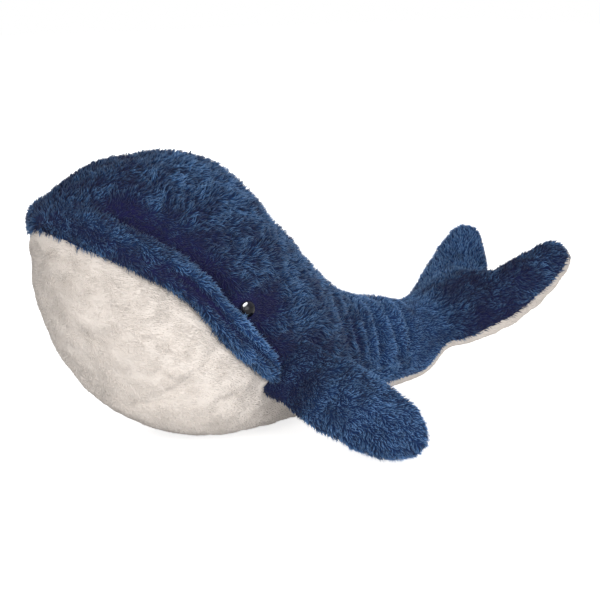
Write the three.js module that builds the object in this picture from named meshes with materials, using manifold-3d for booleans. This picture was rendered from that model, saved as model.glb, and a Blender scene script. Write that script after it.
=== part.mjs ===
// A stuffed toy whale: deep blue long-pile plush over the back, fins and upper flukes, cream plush under the
// throat, belly, tail and flukes, a padded lip roll along the mouth, and black eyes on locking washers.
// Each sewn panel is a separate sheet of fabric, and each stuffed volume is the filling inside it.
// Millimetres. X runs from nose to tail, Y to the whale's right, Z up. The origin is on the flat on which
// the belly rests.
import * as THREE from "three";
import { mergeVertices } from "three/addons/utils/BufferGeometryUtils.js";
import Module from "manifold-3d";

const wasm = await Module();
wasm.setup();

// Fabric and the gaps between pieces
const fabric = 5.5; // backing and pressed pile
const sewnGap = 0.4; // between two panels at a seam
const stuffedGap = 0.4; // between fabric and filling
const seatGap = 0.3; // between a piece and what it is sewn on or clipped to
const swingGap = 0.8; // between the round end of a filling and the bowl in which it turns
const overrun = 6; // how far a cutter passes what it cuts
const filled = fabric + stuffedGap; // how far inside the fabric's outer face the filling begins

// The trunk, which is head, body and tail stock
const bodyLength = 410; // nose to the root of the flukes
const headHeight = 250; // ground to the crown
const headWidth = 190;
const snoutHeightShare = 0.792; // ground to the tip of the snout, of the head's height
const crownShare = 0.18; // how far back the forehead is full, of the body's length
const throatShare = 0.4; // how far back the throat reaches the ground
const cheekShare = 0.366; // how far back the head is at its widest
const seamStart = 0.1; // how far behind the tip of the snout the seams begin
const restDepth = 0.5; // how far the belly is pressed flat
const restShare = 0.5; // where the origin lies along the body
const roundness = 2.15; // of the upper half of a section: 2 is an ellipse, and more is squarer
const flatness = 2.6; // the same for the lower half

// The bends of the tail
const wagShare = 0.817; // nose to the upright axis on which the tail stock swings, of the body's length
const wagRange = 20; // degrees to each side
const liftShare = 0.985; // nose to the level axis on which the flukes lift
const liftHeightShare = 0.24; // ground to that axis, of the head's height
const liftClearance = 18; // how far before that axis the tail stock ends
const liftBallRadius = 25;
const liftBallHalf = 31; // half its length along the axis

// The lip roll
const mouthShare = 0.43; // nose to the corners of the mouth, of the body's length
const lipHeight = 14; // how far it stands proud
const lipFabric = 4;
const lipSetback = 1.5; // its lower edge to the seam
const lipGap = 0.9; // between the lip roll and the head on which it is sewn

// The eyes
const eyeShare = 0.351; // nose to the eyes, of the body's length
const eyeAboveLip = 8.6; // from the lip roll's upper edge to the eye's rim
const eyeRadius = 7;
const eyeDepth = 5.5; // of the dome
const shankRadius = 2.4;
const washerRadius = 8;
const washerThickness = 1.5;
const washerGap = 1.4; // between the washer and the back of the fabric
const shankPast = 1.5; // how far the shank passes the washer

// The pectoral fins
const finShare = 0.48; // nose to the middle of the root, of the body's length
const finHeightShare = 0.252; // ground to the middle of the root, of the head's height
const finLength = 125;
const finChord = 72;
const finThickness = 32;
const finRootRadius = 13;
const finTipCap = 40; // the stretch over which the tip rounds off
const finRootSlope = 41; // degrees from level, low at the front
const finDroop = 14; // degrees down from straight out of the skin

// The flukes
const flukeHalfSpan = 84;
const flukeSweep = 80; // how far back the tips lie
const flukeRise = 50; // how far up the tips lie
const flukeChord = 117;
const flukeThickness = 47;
const flukeTipCap = 50; // the stretch over which a tip rounds off
const flukePitch = 11; // degrees by which the flukes tip up towards the back, at the middle
const flukeTipPitch = 56; // the same at the tips
const flukeCurl = 1.7; // 1 is a straight lobe, and more bends back and up towards its tip
const flukeForward = 9; // how far the root reaches in front of the axis

// How finely the soft forms are divided
const noseRings = 10;
const trunkRings = 13;
const backSteps = 9;
const bellySteps = 11;
const keelCrowding = 1.3; // 1 is even steps, and more makes them shorter towards the keel
const limbSteps = 6; // over one face of a fin or fluke
const finRings = 9;
const flukeRings = 10; // from the middle to a tip
const rootRings = 6; // round a fin's root
const ballRings = 6; // a quarter turn of a ball end
const roundSteps = 24; // round a turned piece
const lipRows = 16; // from the middle to a corner of the mouth
const lipSteps = 8;

const noseHeight = snoutHeightShare * headHeight;
const crownCap = crownShare * bodyLength;
const throatCap = throatShare * bodyLength;
const cheekCap = cheekShare * bodyLength;
const wagDistance = wagShare * bodyLength;
const liftDistance = liftShare * bodyLength;
const liftHeight = liftHeightShare * headHeight;
const mouthDistance = mouthShare * bodyLength;
const eyeDistance = eyeShare * bodyLength;
const finDistance = finShare * bodyLength;
const finHeight = finHeightShare * headHeight;

const sides = { left: -1, right: 1 };
const radians = THREE.MathUtils.degToRad;
const lerp = THREE.MathUtils.lerp;

// Rows of a table hold a place and then values. This reads every value between two rows on a smooth curve.
function readTable(rows, place) {
  const last = rows.length - 1;
  const at = THREE.MathUtils.clamp(place, rows[0][0], rows[last][0]);
  let i = 0;
  while (i < last - 1 && at > rows[i + 1][0]) i += 1;
  const [a, b] = [rows[i], rows[i + 1]];
  const before = rows[Math.max(i - 1, 0)];
  const after = rows[Math.min(i + 2, last)];
  const span = b[0] - a[0];
  const t = (at - a[0]) / span;
  const t2 = t * t;
  const t3 = t2 * t;
  return a.slice(1).map((value, k) => {
    const column = k + 1;
    const slopeA = ((b[column] - before[column]) / (b[0] - before[0])) * span;
    const slopeB = ((after[column] - a[column]) / (after[0] - a[0])) * span;
    return (
      (2 * t3 - 3 * t2 + 1) * value +
      (t3 - 2 * t2 + t) * slopeA +
      (3 * t2 - 2 * t3) * b[column] +
      (t3 - t2) * slopeB
    );
  });
}

// A signed power, for the rounded-square curves of a stuffed section
const bend = (value, power) => Math.sign(value) * Math.abs(value) ** power;

// The share of its full size that a rounded end has reached, at a distance from its tip
const capShare = (distance, length) =>
  distance >= length ? 1 : Math.sqrt(Math.max(0, 1 - ((length - Math.max(distance, 0)) / length) ** 2));

// Points and triangles of one closed surface, welded, with its faces pointing out
function closedGeometry(points, triangles) {
  const loose = new THREE.BufferGeometry();
  loose.setAttribute("position", new THREE.Float32BufferAttribute(points.flatMap((p) => p.toArray()), 3));
  loose.setIndex(triangles.flat());
  const weldDistance = sewnGap / 100;
  const welded = mergeVertices(loose, weldDistance);
  const index = Array.from(welded.index.array);
  const kept = [];
  for (let i = 0; i < index.length; i += 3) {
    const [a, b, c] = index.slice(i, i + 3);
    if (a !== b && b !== c && c !== a) kept.push(a, b, c);
  }
  const [a, b, c] = [new THREE.Vector3(), new THREE.Vector3(), new THREE.Vector3()];
  let volume = 0;
  for (let i = 0; i < kept.length; i += 3) {
    a.fromBufferAttribute(welded.attributes.position, kept[i]);
    b.fromBufferAttribute(welded.attributes.position, kept[i + 1]);
    c.fromBufferAttribute(welded.attributes.position, kept[i + 2]);
    volume += a.dot(b.cross(c));
  }
  welded.setIndex(volume < 0 ? kept.reverse() : kept);
  return welded;
}

// A sheet between two grids of points that match, one for each face, closed round its four sides
function sheetBetween(outer, inner) {
  const [rows, columns] = [outer.length, outer[0].length];
  const out = (i, j) => i * columns + j;
  const into = (i, j) => rows * columns + out(i, j);
  const triangles = [];
  const quad = (a, b, c, d) => triangles.push([a, b, c], [a, c, d]);
  for (let i = 0; i < rows - 1; i += 1) {
    for (let j = 0; j < columns - 1; j += 1) {
      quad(out(i, j), out(i + 1, j), out(i + 1, j + 1), out(i, j + 1));
      triangles.push([into(i, j), into(i + 1, j + 1), into(i + 1, j)]);
      triangles.push([into(i, j), into(i, j + 1), into(i + 1, j + 1)]);
    }
    quad(out(i, 0), into(i, 0), into(i + 1, 0), out(i + 1, 0));
    quad(out(i, columns - 1), out(i + 1, columns - 1), into(i + 1, columns - 1), into(i, columns - 1));
  }
  for (let j = 0; j < columns - 1; j += 1) {
    quad(out(0, j), out(0, j + 1), into(0, j + 1), into(0, j));
    quad(out(rows - 1, j), into(rows - 1, j), into(rows - 1, j + 1), out(rows - 1, j + 1));
  }
  return closedGeometry([...outer.flat(), ...inner.flat()], triangles);
}

// A solid through closed rings of points. An end that folds shut by itself gets no cap.
function solidThrough(rings, capFirst = true, capLast = true) {
  const count = rings[0].length;
  const points = rings.flat();
  const triangles = [];
  for (let i = 0; i < rings.length - 1; i += 1) {
    for (let j = 0; j < count; j += 1) {
      const [a, b] = [i * count + j, i * count + ((j + 1) % count)];
      triangles.push([a, a + count, b + count], [a, b + count, b]);
    }
  }
  const addCap = (ring, reversed) => {
    const middle = new THREE.Vector3();
    rings[ring].forEach((p) => middle.add(p));
    const centre = points.push(middle.divideScalar(count)) - 1;
    for (let j = 0; j < count; j += 1) {
      const [a, b] = [ring * count + j, ring * count + ((j + 1) % count)];
      triangles.push(reversed ? [centre, b, a] : [centre, a, b]);
    }
  };
  if (capFirst) addCap(0, false);
  if (capLast) addCap(rings.length - 1, true);
  return closedGeometry(points, triangles);
}

// Joining and cutting closed geometries
function toManifold(geometry) {
  const bare = geometry.clone();
  bare.deleteAttribute("normal");
  bare.deleteAttribute("uv");
  const welded = mergeVertices(bare);
  return new wasm.Manifold(
    new wasm.Mesh({
      numProp: 3,
      vertProperties: new Float32Array(welded.attributes.position.array),
      triVerts: new Uint32Array(welded.index.array),
    }),
  );
}

function fromManifold(solid) {
  const mesh = solid.getMesh();
  const geometry = new THREE.BufferGeometry();
  geometry.setAttribute("position", new THREE.BufferAttribute(mesh.vertProperties, mesh.numProp));
  geometry.setIndex(new THREE.BufferAttribute(mesh.triVerts, 1));
  return geometry;
}

const cutBy = (geometry, ...cutters) =>
  fromManifold(cutters.reduce((solid, cutter) => solid.subtract(toManifold(cutter)), toManifold(geometry)));

const joined = (a, b) => fromManifold(toManifold(a).add(toManifold(b)));

// The trunk's outer form. A row holds a place along the body, the crown and the underside as shares of the
// head's height, the width as a share of the head's, and the height of the widest point as the crown's are.
const trunkShares = [
  [0.0, 0.904, 0.0, 1, 0.635],
  [0.12, 0.966, 0.0, 1, 0.578],
  [0.26, 1, 0.0, 1, 0.501],
  [0.36, 0.988, 0.0, 1, 0.462],
  [0.43, 0.926, 0.0, 0.98, 0.424],
  [0.5, 0.802, 0.0, 0.92, 0.376],
  [0.58, 0.67, 0.0, 0.81, 0.328],
  [0.66, 0.54, 0.0, 0.67, 0.285],
  [0.75, 0.443, 0.0, 0.56, 0.245],
  [0.84, 0.403, 0.012, 0.49, 0.222],
  [0.92, 0.381, 0.028, 0.45, 0.217],
  [1, 0.357, 0.06, 0.43, 0.22],
];

// The seam between blue and cream: a place along the body, and its height as a share of the head's
const seamShares = [
  [0.0, 0.792],
  [0.03, 0.755],
  [0.115, 0.674],
  [0.21, 0.571],
  [0.26, 0.486],
  [0.3, 0.4],
  [0.36, 0.314],
  [0.435, 0.227],
  [0.55, 0.155],
  [0.7, 0.11],
  [0.85, 0.082],
  [1, 0.094],
];

const along = (distance) => distance - restShare * bodyLength; // from behind the nose to X

// The trunk's section at a distance behind the nose, drawn in by an inset on every side
function trunkSection(distance, inset) {
  const [crown, underside, width, widest] = readTable(trunkShares, distance / bodyLength);
  const behind = distance - inset;
  const throat = capShare(behind, throatCap - inset);
  const rise = (crown * headHeight - noseHeight - inset) * capShare(behind, crownCap - inset);
  const drop = (noseHeight - underside * headHeight + restDepth - inset) * throat;
  return {
    x: along(distance),
    top: noseHeight + rise,
    bottom: noseHeight - drop,
    half: ((width * headWidth) / 2 - inset) * capShare(behind, cheekCap - inset),
    middle: lerp(noseHeight, widest * headHeight, throat),
  };
}

// The point at a turn round a section: 0 is the crown, a quarter turn the left side, a half the underside
function sectionPoint(section, turn) {
  const upper = Math.cos(turn) > 0;
  const power = 2 / (upper ? roundness : flatness);
  const reach = upper ? section.top - section.middle : section.middle - section.bottom;
  return new THREE.Vector3(
    section.x,
    -section.half * bend(Math.sin(turn), power),
    section.middle + reach * bend(Math.cos(turn), power),
  );
}

// How far up or down a section a height is, as a share of the reach to its top or bottom, and the power
function placeInSection(section, height) {
  const upper = height > section.middle;
  const reach = upper ? section.top - section.middle : section.middle - section.bottom;
  return [Math.abs(height - section.middle) / Math.max(reach, seamStart), upper ? roundness : flatness];
}

function turnAtHeight(section, height) {
  const [share, roundPower] = placeInSection(section, height);
  const turn = Math.acos(Math.min(share, 1) ** (roundPower / 2));
  return height > section.middle ? turn : Math.PI - turn;
}

// Half the trunk's width at a height, or zero above and below it
function halfWidthAt(distance, height, inset) {
  const section = trunkSection(distance, inset);
  const [share, roundPower] = placeInSection(section, height);
  return share >= 1 ? 0 : section.half * (1 - share ** roundPower) ** (1 / roundPower);
}

const seamHeight = (distance) => readTable(seamShares, distance / bodyLength)[0] * headHeight;
const seamTurn = (distance) => turnAtHeight(trunkSection(distance, 0), seamHeight(distance));

// The turn that half the gap at a seam takes up
function seamMargin(distance) {
  const section = trunkSection(distance, 0);
  const turn = seamTurn(distance);
  const probe = radians(1);
  const arc = sectionPoint(section, turn + probe).distanceTo(sectionPoint(section, turn - probe));
  return (sewnGap / arc) * probe;
}

// Distances of the rings of a stretch of trunk. The nose's rings crowd towards its tip.
function trunkDistances(start, end) {
  const step = (bodyLength - throatCap) / trunkRings;
  const nose = Array.from({ length: noseRings }, (_, i) => 1 - Math.cos((i / noseRings) * (Math.PI / 2)));
  const rear = Array.from({ length: trunkRings }, (_, i) => throatCap + i * step);
  const all = [...nose.map((share) => share * throatCap), ...rear];
  const apart = start > seamStart ? step / 4 : start;
  return [start, ...all.filter((distance) => distance > start + apart && distance < end - step / 4), end];
}

// The ring of an inner face that pairs with an outer one, so that both faces round off at the nose
const ringWithin = (distance, inset) =>
  distance < throatCap ? inset + (distance * (throatCap - inset)) / throatCap : distance;

const turnsBetween = (first, last, steps) =>
  Array.from({ length: steps + 1 }, (_, j) => lerp(first, last, j / steps));

// The turns round the belly, from its left seam to its right one, crowding towards the keel
const bellyTurns = (seam) =>
  turnsBetween(-1, 1, bellySteps).map((side) => Math.PI + (Math.PI - seam) * bend(side, keelCrowding));

// A panel of the trunk over the turns that it has at each ring, moved aside by half the gap along the back
function trunkPanel(distances, turnsAt, aside) {
  const face = (inset) =>
    distances.map((distance) => {
      const section = trunkSection(ringWithin(distance, inset), inset);
      return turnsAt(distance).map((turn) => {
        const point = sectionPoint(section, turn);
        point.y += aside;
        return point;
      });
    });
  return sheetBetween(face(0), face(fabric));
}

function backPanel(distances, side) {
  const turnsAt = (distance) => {
    const seam = seamTurn(distance) - seamMargin(distance);
    const [first, last] = side === sides.left ? [0, seam] : [2 * Math.PI - seam, 2 * Math.PI];
    return turnsBetween(first, last, backSteps);
  };
  return trunkPanel(distances, turnsAt, (side * sewnGap) / 2);
}

const bellyPanel = (distances) =>
  trunkPanel(distances, (distance) => bellyTurns(seamTurn(distance) + seamMargin(distance)), 0);

// A whole ring of the trunk, whose points pair with those of the panels
function trunkRing(distance, inset) {
  const section = trunkSection(ringWithin(distance, inset), inset);
  const seam = seamTurn(distance);
  const turns = [
    ...turnsBetween(0, seam, backSteps).slice(0, -1),
    ...bellyTurns(seam).slice(0, -1),
    ...turnsBetween(2 * Math.PI - seam, 2 * Math.PI, backSteps).slice(0, -1),
  ];
  return turns.map((turn) => sectionPoint(section, turn));
}

// The rings of the round end on which the tail stock swings: the ring at the axis, turned about it until
// its left and right halves meet
function wagBallRings(inset) {
  const ring = trunkRing(wagDistance, inset);
  return Array.from({ length: ballRings }, (_, k) => {
    const turn = (1 - k / ballRings) * (Math.PI / 2);
    const [sin, cos] = [Math.sin(turn), Math.cos(turn)];
    return ring.map((p) => new THREE.Vector3(p.x - Math.abs(p.y) * sin, p.y * cos, p.z));
  });
}

const wagCutter = solidThrough(
  [
    ...wagBallRings(filled - swingGap),
    trunkRing(wagDistance, filled - swingGap),
    trunkRing(wagDistance + overrun, filled - swingGap),
  ],
  false,
);

// The round end on which the flukes lift, turned about the level axis
function liftBall(growth) {
  const half = liftBallHalf + growth;
  const profile = Array.from({ length: 2 * ballRings + 1 }, (_, k) => {
    const turn = (k / ballRings - 1) * (Math.PI / 2);
    const radius = (liftBallRadius + growth) * Math.cos(turn);
    return new THREE.Vector2(Math.max(radius, 0), half * Math.sin(turn));
  });
  profile[0].x = 0;
  profile[2 * ballRings].x = 0;
  return new THREE.LatheGeometry(profile, roundSteps).translate(along(liftDistance), 0, liftHeight);
}

// Where the torso's fabric stops, so that the tail stock's fabric can swing
const wagHalfWidth = trunkSection(wagDistance, 0).half;
const torsoEnd = wagDistance - wagHalfWidth * Math.sin(radians(wagRange)) - swingGap;
const stockStart = wagDistance + sewnGap;
const stockEnd = liftDistance - liftClearance;
const torsoDistances = trunkDistances(seamStart, torsoEnd);
const stockDistances = trunkDistances(stockStart, stockEnd);

// All that lies below the surface on which the whale stands
function groundCutter() {
  const thickness = restDepth + overrun;
  return new THREE.BoxGeometry(bodyLength, headWidth, thickness).translate(0, 0, -thickness / 2);
}

// A frame on the side of the trunk: a point, the way out, and the ways back and up along the skin
function frameOnSide(distance, height, side) {
  const point = (d, h) => new THREE.Vector3(along(d), side * halfWidthAt(d, h, 0), h);
  const probe = fabric;
  const back = point(distance + probe, height).sub(point(distance - probe, height)).normalize();
  const up = point(distance, height + probe).sub(point(distance, height - probe)).normalize();
  const out = new THREE.Vector3().crossVectors(back, up).multiplyScalar(-side).normalize();
  const around = (d, h) => point(distance + d, height + h);
  return { point: point(distance, height), out, back, up, around };
}

// How far the skin falls away from a flat disc that touches it
function fallUnder(frame, radius) {
  const falls = turnsBetween(0, 2 * Math.PI, roundSteps).map((turn) => {
    const rim = frame.around(radius * Math.cos(turn), radius * Math.sin(turn));
    return frame.point.clone().sub(rim).dot(frame.out);
  });
  return Math.max(...falls);
}

// A turned piece on the side of the trunk, its axis pointing out
function turnedOnSide(frame, profile) {
  const upright = new THREE.Vector3(0, 1, 0);
  const turn = new THREE.Quaternion().setFromUnitVectors(upright, frame.out);
  const points = profile.map(([radius, height]) => new THREE.Vector2(radius, height));
  const piece = new THREE.LatheGeometry(points, roundSteps).applyQuaternion(turn);
  return piece.translate(frame.point.x, frame.point.y, frame.point.z);
}

// The lip roll. A row holds a place from the middle to the corner of the mouth, how far up the roll reaches
// from the seam as a share of the head's height, and how proud it stands as a share of its own.
const lipShares = [
  [0.0, 0.1, 0.05],
  [0.14, 0.1, 0.2],
  [0.32, 0.105, 0.6],
  [0.5, 0.115, 0.95],
  [0.61, 0.125, 1.0],
  [0.69, 0.13, 1.0],
  [0.79, 0.12, 1.0],
  [0.88, 0.1, 0.9],
  [0.95, 0.08, 0.7],
  [1.0, 0.05, 0.4],
];

// The angle round the head, from straight ahead, at which the seam passes a distance behind the nose
const angleAt = (distance) => Math.atan2(halfWidthAt(distance, seamHeight(distance), 0), cheekCap - distance);
const mouthAngle = angleAt(mouthDistance);

// The height of the lip roll's upper edge at a distance behind the nose
function lipTopAt(distance) {
  const [reach] = readTable(lipShares, Math.min(1, angleAt(distance) / mouthAngle));
  return seamHeight(distance) + lipSetback + reach * headHeight;
}

const eyeHeight = lipTopAt(eyeDistance) + eyeAboveLip + eyeRadius;

// The washer's outer face and the end of the eye's shank, measured out from the skin
const washerSeat = (frame) => -(fabric + fallUnder(frame, washerRadius) + washerGap);
const shankEnd = (frame) => washerSeat(frame) - washerThickness - shankPast;

function eye(frame) {
  const dome = Array.from({ length: ballRings + 1 }, (_, k) => {
    const turn = (k / ballRings) * (Math.PI / 2);
    return [eyeRadius * Math.cos(turn), seatGap + eyeDepth * Math.sin(turn)];
  });
  dome[ballRings][0] = 0;
  const end = shankEnd(frame);
  return turnedOnSide(frame, [[0, end], [shankRadius, end], [shankRadius, seatGap], ...dome]);
}

function washer(frame) {
  const bore = shankRadius + seatGap;
  const outer = washerSeat(frame);
  const inner = outer - washerThickness;
  const profile = [[bore, inner], [washerRadius, inner], [washerRadius, outer], [bore, outer]];
  return turnedOnSide(frame, [...profile, profile[0]]);
}

// Room for a shank through the fabric, and for the washer and the shank's end in the filling
function shankRoom(frame) {
  const radius = shankRadius + seatGap;
  const floor = -overrun - fabric;
  return turnedOnSide(frame, [[0, floor], [radius, floor], [radius, overrun], [0, overrun]]);
}

function washerRoom(frame) {
  const radius = washerRadius + seatGap;
  const floor = shankEnd(frame) - seatGap;
  return turnedOnSide(frame, [[0, floor], [radius, floor], [radius, overrun], [0, overrun]]);
}

// The point on the head at an angle round it and a height, standing out from the skin
function headPoint(angle, height, outward) {
  const at = (radius) => [cheekCap - radius * Math.cos(angle), radius * Math.sin(angle)];
  let [near, far] = [0, cheekCap + headWidth];
  const halvings = 40;
  for (let i = 0; i < halvings; i += 1) {
    const radius = (near + far) / 2;
    const [distance, y] = at(radius);
    if (Math.abs(y) < halfWidthAt(distance, height, -outward)) near = radius;
    else far = radius;
  }
  const [distance, y] = at(near);
  return { distance, point: new THREE.Vector3(along(distance), y, height) };
}

function seamHeightRound(angle) {
  let height = noseHeight;
  const rounds = 12;
  for (let i = 0; i < rounds; i += 1) height = seamHeight(headPoint(angle, height, 0).distance);
  return height;
}

const lipBows = Array.from({ length: lipSteps + 1 }, (_, j) => {
  const across = -Math.cos((j / lipSteps) * Math.PI);
  return { across, bow: Math.sqrt(Math.max(0, 1 - across * across)) };
});

// A grid over the lip roll: standing gives how far out a point lies, from the roll's height there and its bow
function lipGrid(standing) {
  return Array.from({ length: 2 * lipRows + 1 }, (_, i) => {
    const place = i / lipRows - 1;
    const angle = place * mouthAngle;
    const [reach, proud] = readTable(lipShares, Math.abs(place));
    const low = seamHeightRound(angle) + lipSetback;
    return lipBows.map(({ across, bow }) => {
      const height = low + (reach * headHeight * (1 + across)) / 2;
      return headPoint(angle, height, lipGap + standing(proud * (lipHeight - lipFabric), bow)).point;
    });
  });
}

const lipEdge = lipFabric / 3; // the fabric's thickness where it is sewn down

function lipPanel() {
  const outer = lipGrid((height, bow) => height * bow + lerp(lipEdge, lipFabric, bow));
  return sheetBetween(outer, lipGrid((height, bow) => height * bow));
}

function lipFilling() {
  const inside = (grid) => grid.slice(1, -1).map((row) => row.slice(1, -1));
  const outer = lipGrid((height, bow) => height * bow - stuffedGap);
  return sheetBetween(inside(outer), inside(lipGrid(() => stuffedGap)));
}

// Fins and flukes are lofts of flat sections. A section has a centre, half a chord and half a thickness,
// and the ways in which its chord and its thickness lie. Round a section the upper face runs from leading
// to trailing edge, and the lower face back again.
function facePoints({ centre, chord, thick, chordWay, thickWay }, face, aside) {
  return turnsBetween(0, Math.PI, limbSteps).map((turn) =>
    centre
      .clone()
      .addScaledVector(chordWay, -chord * Math.cos(turn))
      .addScaledVector(thickWay, face * (thick * Math.sin(turn) + aside)),
  );
}

function limbPanel(sectionsAt, face) {
  const row = (section) => {
    const points = facePoints(section, face, sewnGap / 2);
    return face > 0 ? points : points.reverse();
  };
  return sheetBetween(sectionsAt(0).map(row), sectionsAt(fabric).map(row));
}

function limbFilling(sectionsAt) {
  const rings = sectionsAt(filled).map((section) => [
    ...facePoints(section, 1, 0).slice(0, -1),
    ...facePoints(section, -1, 0).reverse().slice(0, -1),
  ]);
  return solidThrough(rings, false, false);
}

// A fin's shares: a place along it, its chord and its thickness
const finShares = [
  [0.0, 0.92, 0.81],
  [0.25, 1.0, 0.96],
  [0.5, 0.97, 1.0],
  [0.75, 0.87, 0.92],
  [1.0, 0.74, 0.8],
];

// A fin's hinge frame: the root's axis lies along the skin, and the fin reaches out, back and down from it
function finFrame(side) {
  const seat = frameOnSide(finDistance, finHeight, side);
  const slope = radians(finRootSlope);
  const axis = seat.back.clone().multiplyScalar(Math.cos(slope)).addScaledVector(seat.up, Math.sin(slope));
  axis.addScaledVector(seat.out, -axis.dot(seat.out)).normalize();
  const outward = seat.out.clone().applyAxisAngle(axis, -side * radians(finDroop));
  const thickWay = new THREE.Vector3().crossVectors(axis, outward).multiplyScalar(side).normalize();
  const pivot = seat.point.clone().addScaledVector(seat.out, finRootRadius + seatGap);
  return { pivot, axis, outward, thickWay };
}

function finSections(frame, inset) {
  const radius = finRootRadius - inset;
  const reach = finLength - inset;
  const root = turnsBetween(0, Math.PI / 2, rootRings).slice(0, -1).map((turn) => -radius * Math.cos(turn));
  const blade = turnsBetween(0, Math.PI / 2, finRings).map((turn) => reach * Math.sin(turn));
  return [...root, ...blade].map((distance) => {
    const [chord, thick] = readTable(finShares, distance / finLength);
    const tip = capShare(reach - distance, finTipCap - inset);
    const rooted = distance < 0 ? capShare(radius + distance, radius) : 1;
    return {
      centre: frame.pivot.clone().addScaledVector(frame.outward, distance),
      chord: ((chord * finChord) / 2 - inset) * tip,
      thick: ((thick * finThickness) / 2 - inset) * tip * rooted,
      chordWay: frame.axis,
      thickWay: frame.thickWay,
    };
  });
}

// The flukes' shares: a place from the middle to a tip, the chord and the thickness
const flukeShares = [
  [0.0, 1.13, 1.5],
  [0.15, 1.1, 1.35],
  [0.35, 1.2, 1.12],
  [0.6, 1.22, 1.05],
  [0.85, 1.0, 1.15],
  [1.0, 0.87, 0.95],
];

// The ways of the flukes' chord and thickness, tipped up by an angle
function flukeWays(pitch) {
  return {
    chordWay: new THREE.Vector3(Math.cos(pitch), 0, Math.sin(pitch)),
    thickWay: new THREE.Vector3(-Math.sin(pitch), 0, Math.cos(pitch)),
  };
}

function flukeSections(inset) {
  const rootChord = flukeShares[0][1] * flukeChord;
  const root = new THREE.Vector3(along(liftDistance), 0, liftHeight);
  root.addScaledVector(flukeWays(radians(flukePitch)).chordWay, rootChord / 2 - flukeForward);
  return Array.from({ length: 2 * flukeRings + 1 }, (_, k) => {
    const place = Math.sin((k / flukeRings - 1) * (Math.PI / 2));
    const y = place * (flukeHalfSpan - inset);
    const out = Math.abs(y) / flukeHalfSpan;
    const bent = out ** flukeCurl;
    const [chord, thick] = readTable(flukeShares, out);
    const tip = capShare(flukeHalfSpan - inset - Math.abs(y), flukeTipCap - inset);
    return {
      centre: root.clone().add(new THREE.Vector3(bent * flukeSweep, y, bent * flukeRise)),
      chord: ((chord * flukeChord) / 2 - inset) * tip,
      thick: ((thick * flukeThickness) / 2 - inset) * tip,
      ...flukeWays(radians(lerp(flukePitch, flukeTipPitch, out))),
    };
  });
}

// Materials
const bluePlush = new THREE.MeshStandardMaterial({ color: 0x2c3f6b, roughness: 0.95, metalness: 0 });
const creamPlush = new THREE.MeshStandardMaterial({ color: 0xece6dc, roughness: 0.95, metalness: 0 });
const fibreFilling = new THREE.MeshStandardMaterial({ color: 0xf4f3ef, roughness: 1, metalness: 0 });
const blackPlastic = new THREE.MeshStandardMaterial({ color: 0x08080a, roughness: 0.12, metalness: 0 });
const clearPlastic = new THREE.MeshStandardMaterial({ color: 0xdcdcd6, roughness: 0.5, metalness: 0 });

function piece(name, geometry, material) {
  const mesh = new THREE.Mesh(geometry, material.clone());
  mesh.name = name;
  return mesh;
}

function torso() {
  const group = new THREE.Group();
  const filling = solidThrough(torsoDistances.map((distance) => trunkRing(distance, filled)));
  const cutters = [wagCutter];
  for (const [name, side] of Object.entries(sides)) {
    const frame = frameOnSide(eyeDistance, eyeHeight, side);
    const panel = cutBy(backPanel(torsoDistances, side), shankRoom(frame));
    group.add(piece(`back_panel_${name}`, panel, bluePlush));
    group.add(piece(`eye_${name}`, eye(frame), blackPlastic));
    group.add(piece(`eye_washer_${name}`, washer(frame), clearPlastic));
    cutters.push(washerRoom(frame));
  }
  group.add(piece("body_filling", cutBy(filling, ...cutters), fibreFilling));
  group.add(piece("belly_panel", cutBy(bellyPanel(torsoDistances), groundCutter()), creamPlush));
  group.add(piece("lip_panel", lipPanel(), bluePlush));
  group.add(piece("lip_filling", lipFilling(), fibreFilling));
  return group;
}

function tailStock() {
  const group = new THREE.Group();
  const stretch = [wagDistance, ...stockDistances.slice(1)].map((distance) => trunkRing(distance, filled));
  const filling = solidThrough([...wagBallRings(filled), ...stretch], false);
  group.add(piece("tail_filling", cutBy(filling, liftBall(swingGap)), fibreFilling));
  for (const [name, side] of Object.entries(sides)) {
    group.add(piece(`tail_panel_${name}`, backPanel(stockDistances, side), bluePlush));
  }
  group.add(piece("tail_belly_panel", bellyPanel(stockDistances), creamPlush));
  return group;
}

function flukes() {
  const group = new THREE.Group();
  const panel = (face) =>
    cutBy(limbPanel(flukeSections, face), liftBall(stuffedGap));
  const filling = joined(liftBall(0), limbFilling(flukeSections));
  group.add(piece("fluke_upper_panel", panel(1), bluePlush));
  group.add(piece("fluke_lower_panel", panel(-1), creamPlush));
  group.add(piece("fluke_filling", filling, fibreFilling));
  return group;
}

function fin(name, side) {
  const group = new THREE.Group();
  const frame = finFrame(side);
  const sectionsAt = (inset) => finSections(frame, inset);
  const faces = { upper: 1, lower: -1 };
  for (const [label, face] of Object.entries(faces)) {
    const panel = limbPanel(sectionsAt, face);
    group.add(piece(`fin_${name}_${label}_panel`, panel, bluePlush));
  }
  group.add(piece(`fin_${name}_filling`, limbFilling(sectionsAt), fibreFilling));
  return group;
}

const whale = new THREE.Group();
whale.add(torso(), tailStock(), flukes());
for (const [name, side] of Object.entries(sides)) whale.add(fin(name, side));

export default whale;
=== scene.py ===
import math

import bmesh
import bpy
import numpy as np
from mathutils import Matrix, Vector, kdtree, noise


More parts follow.
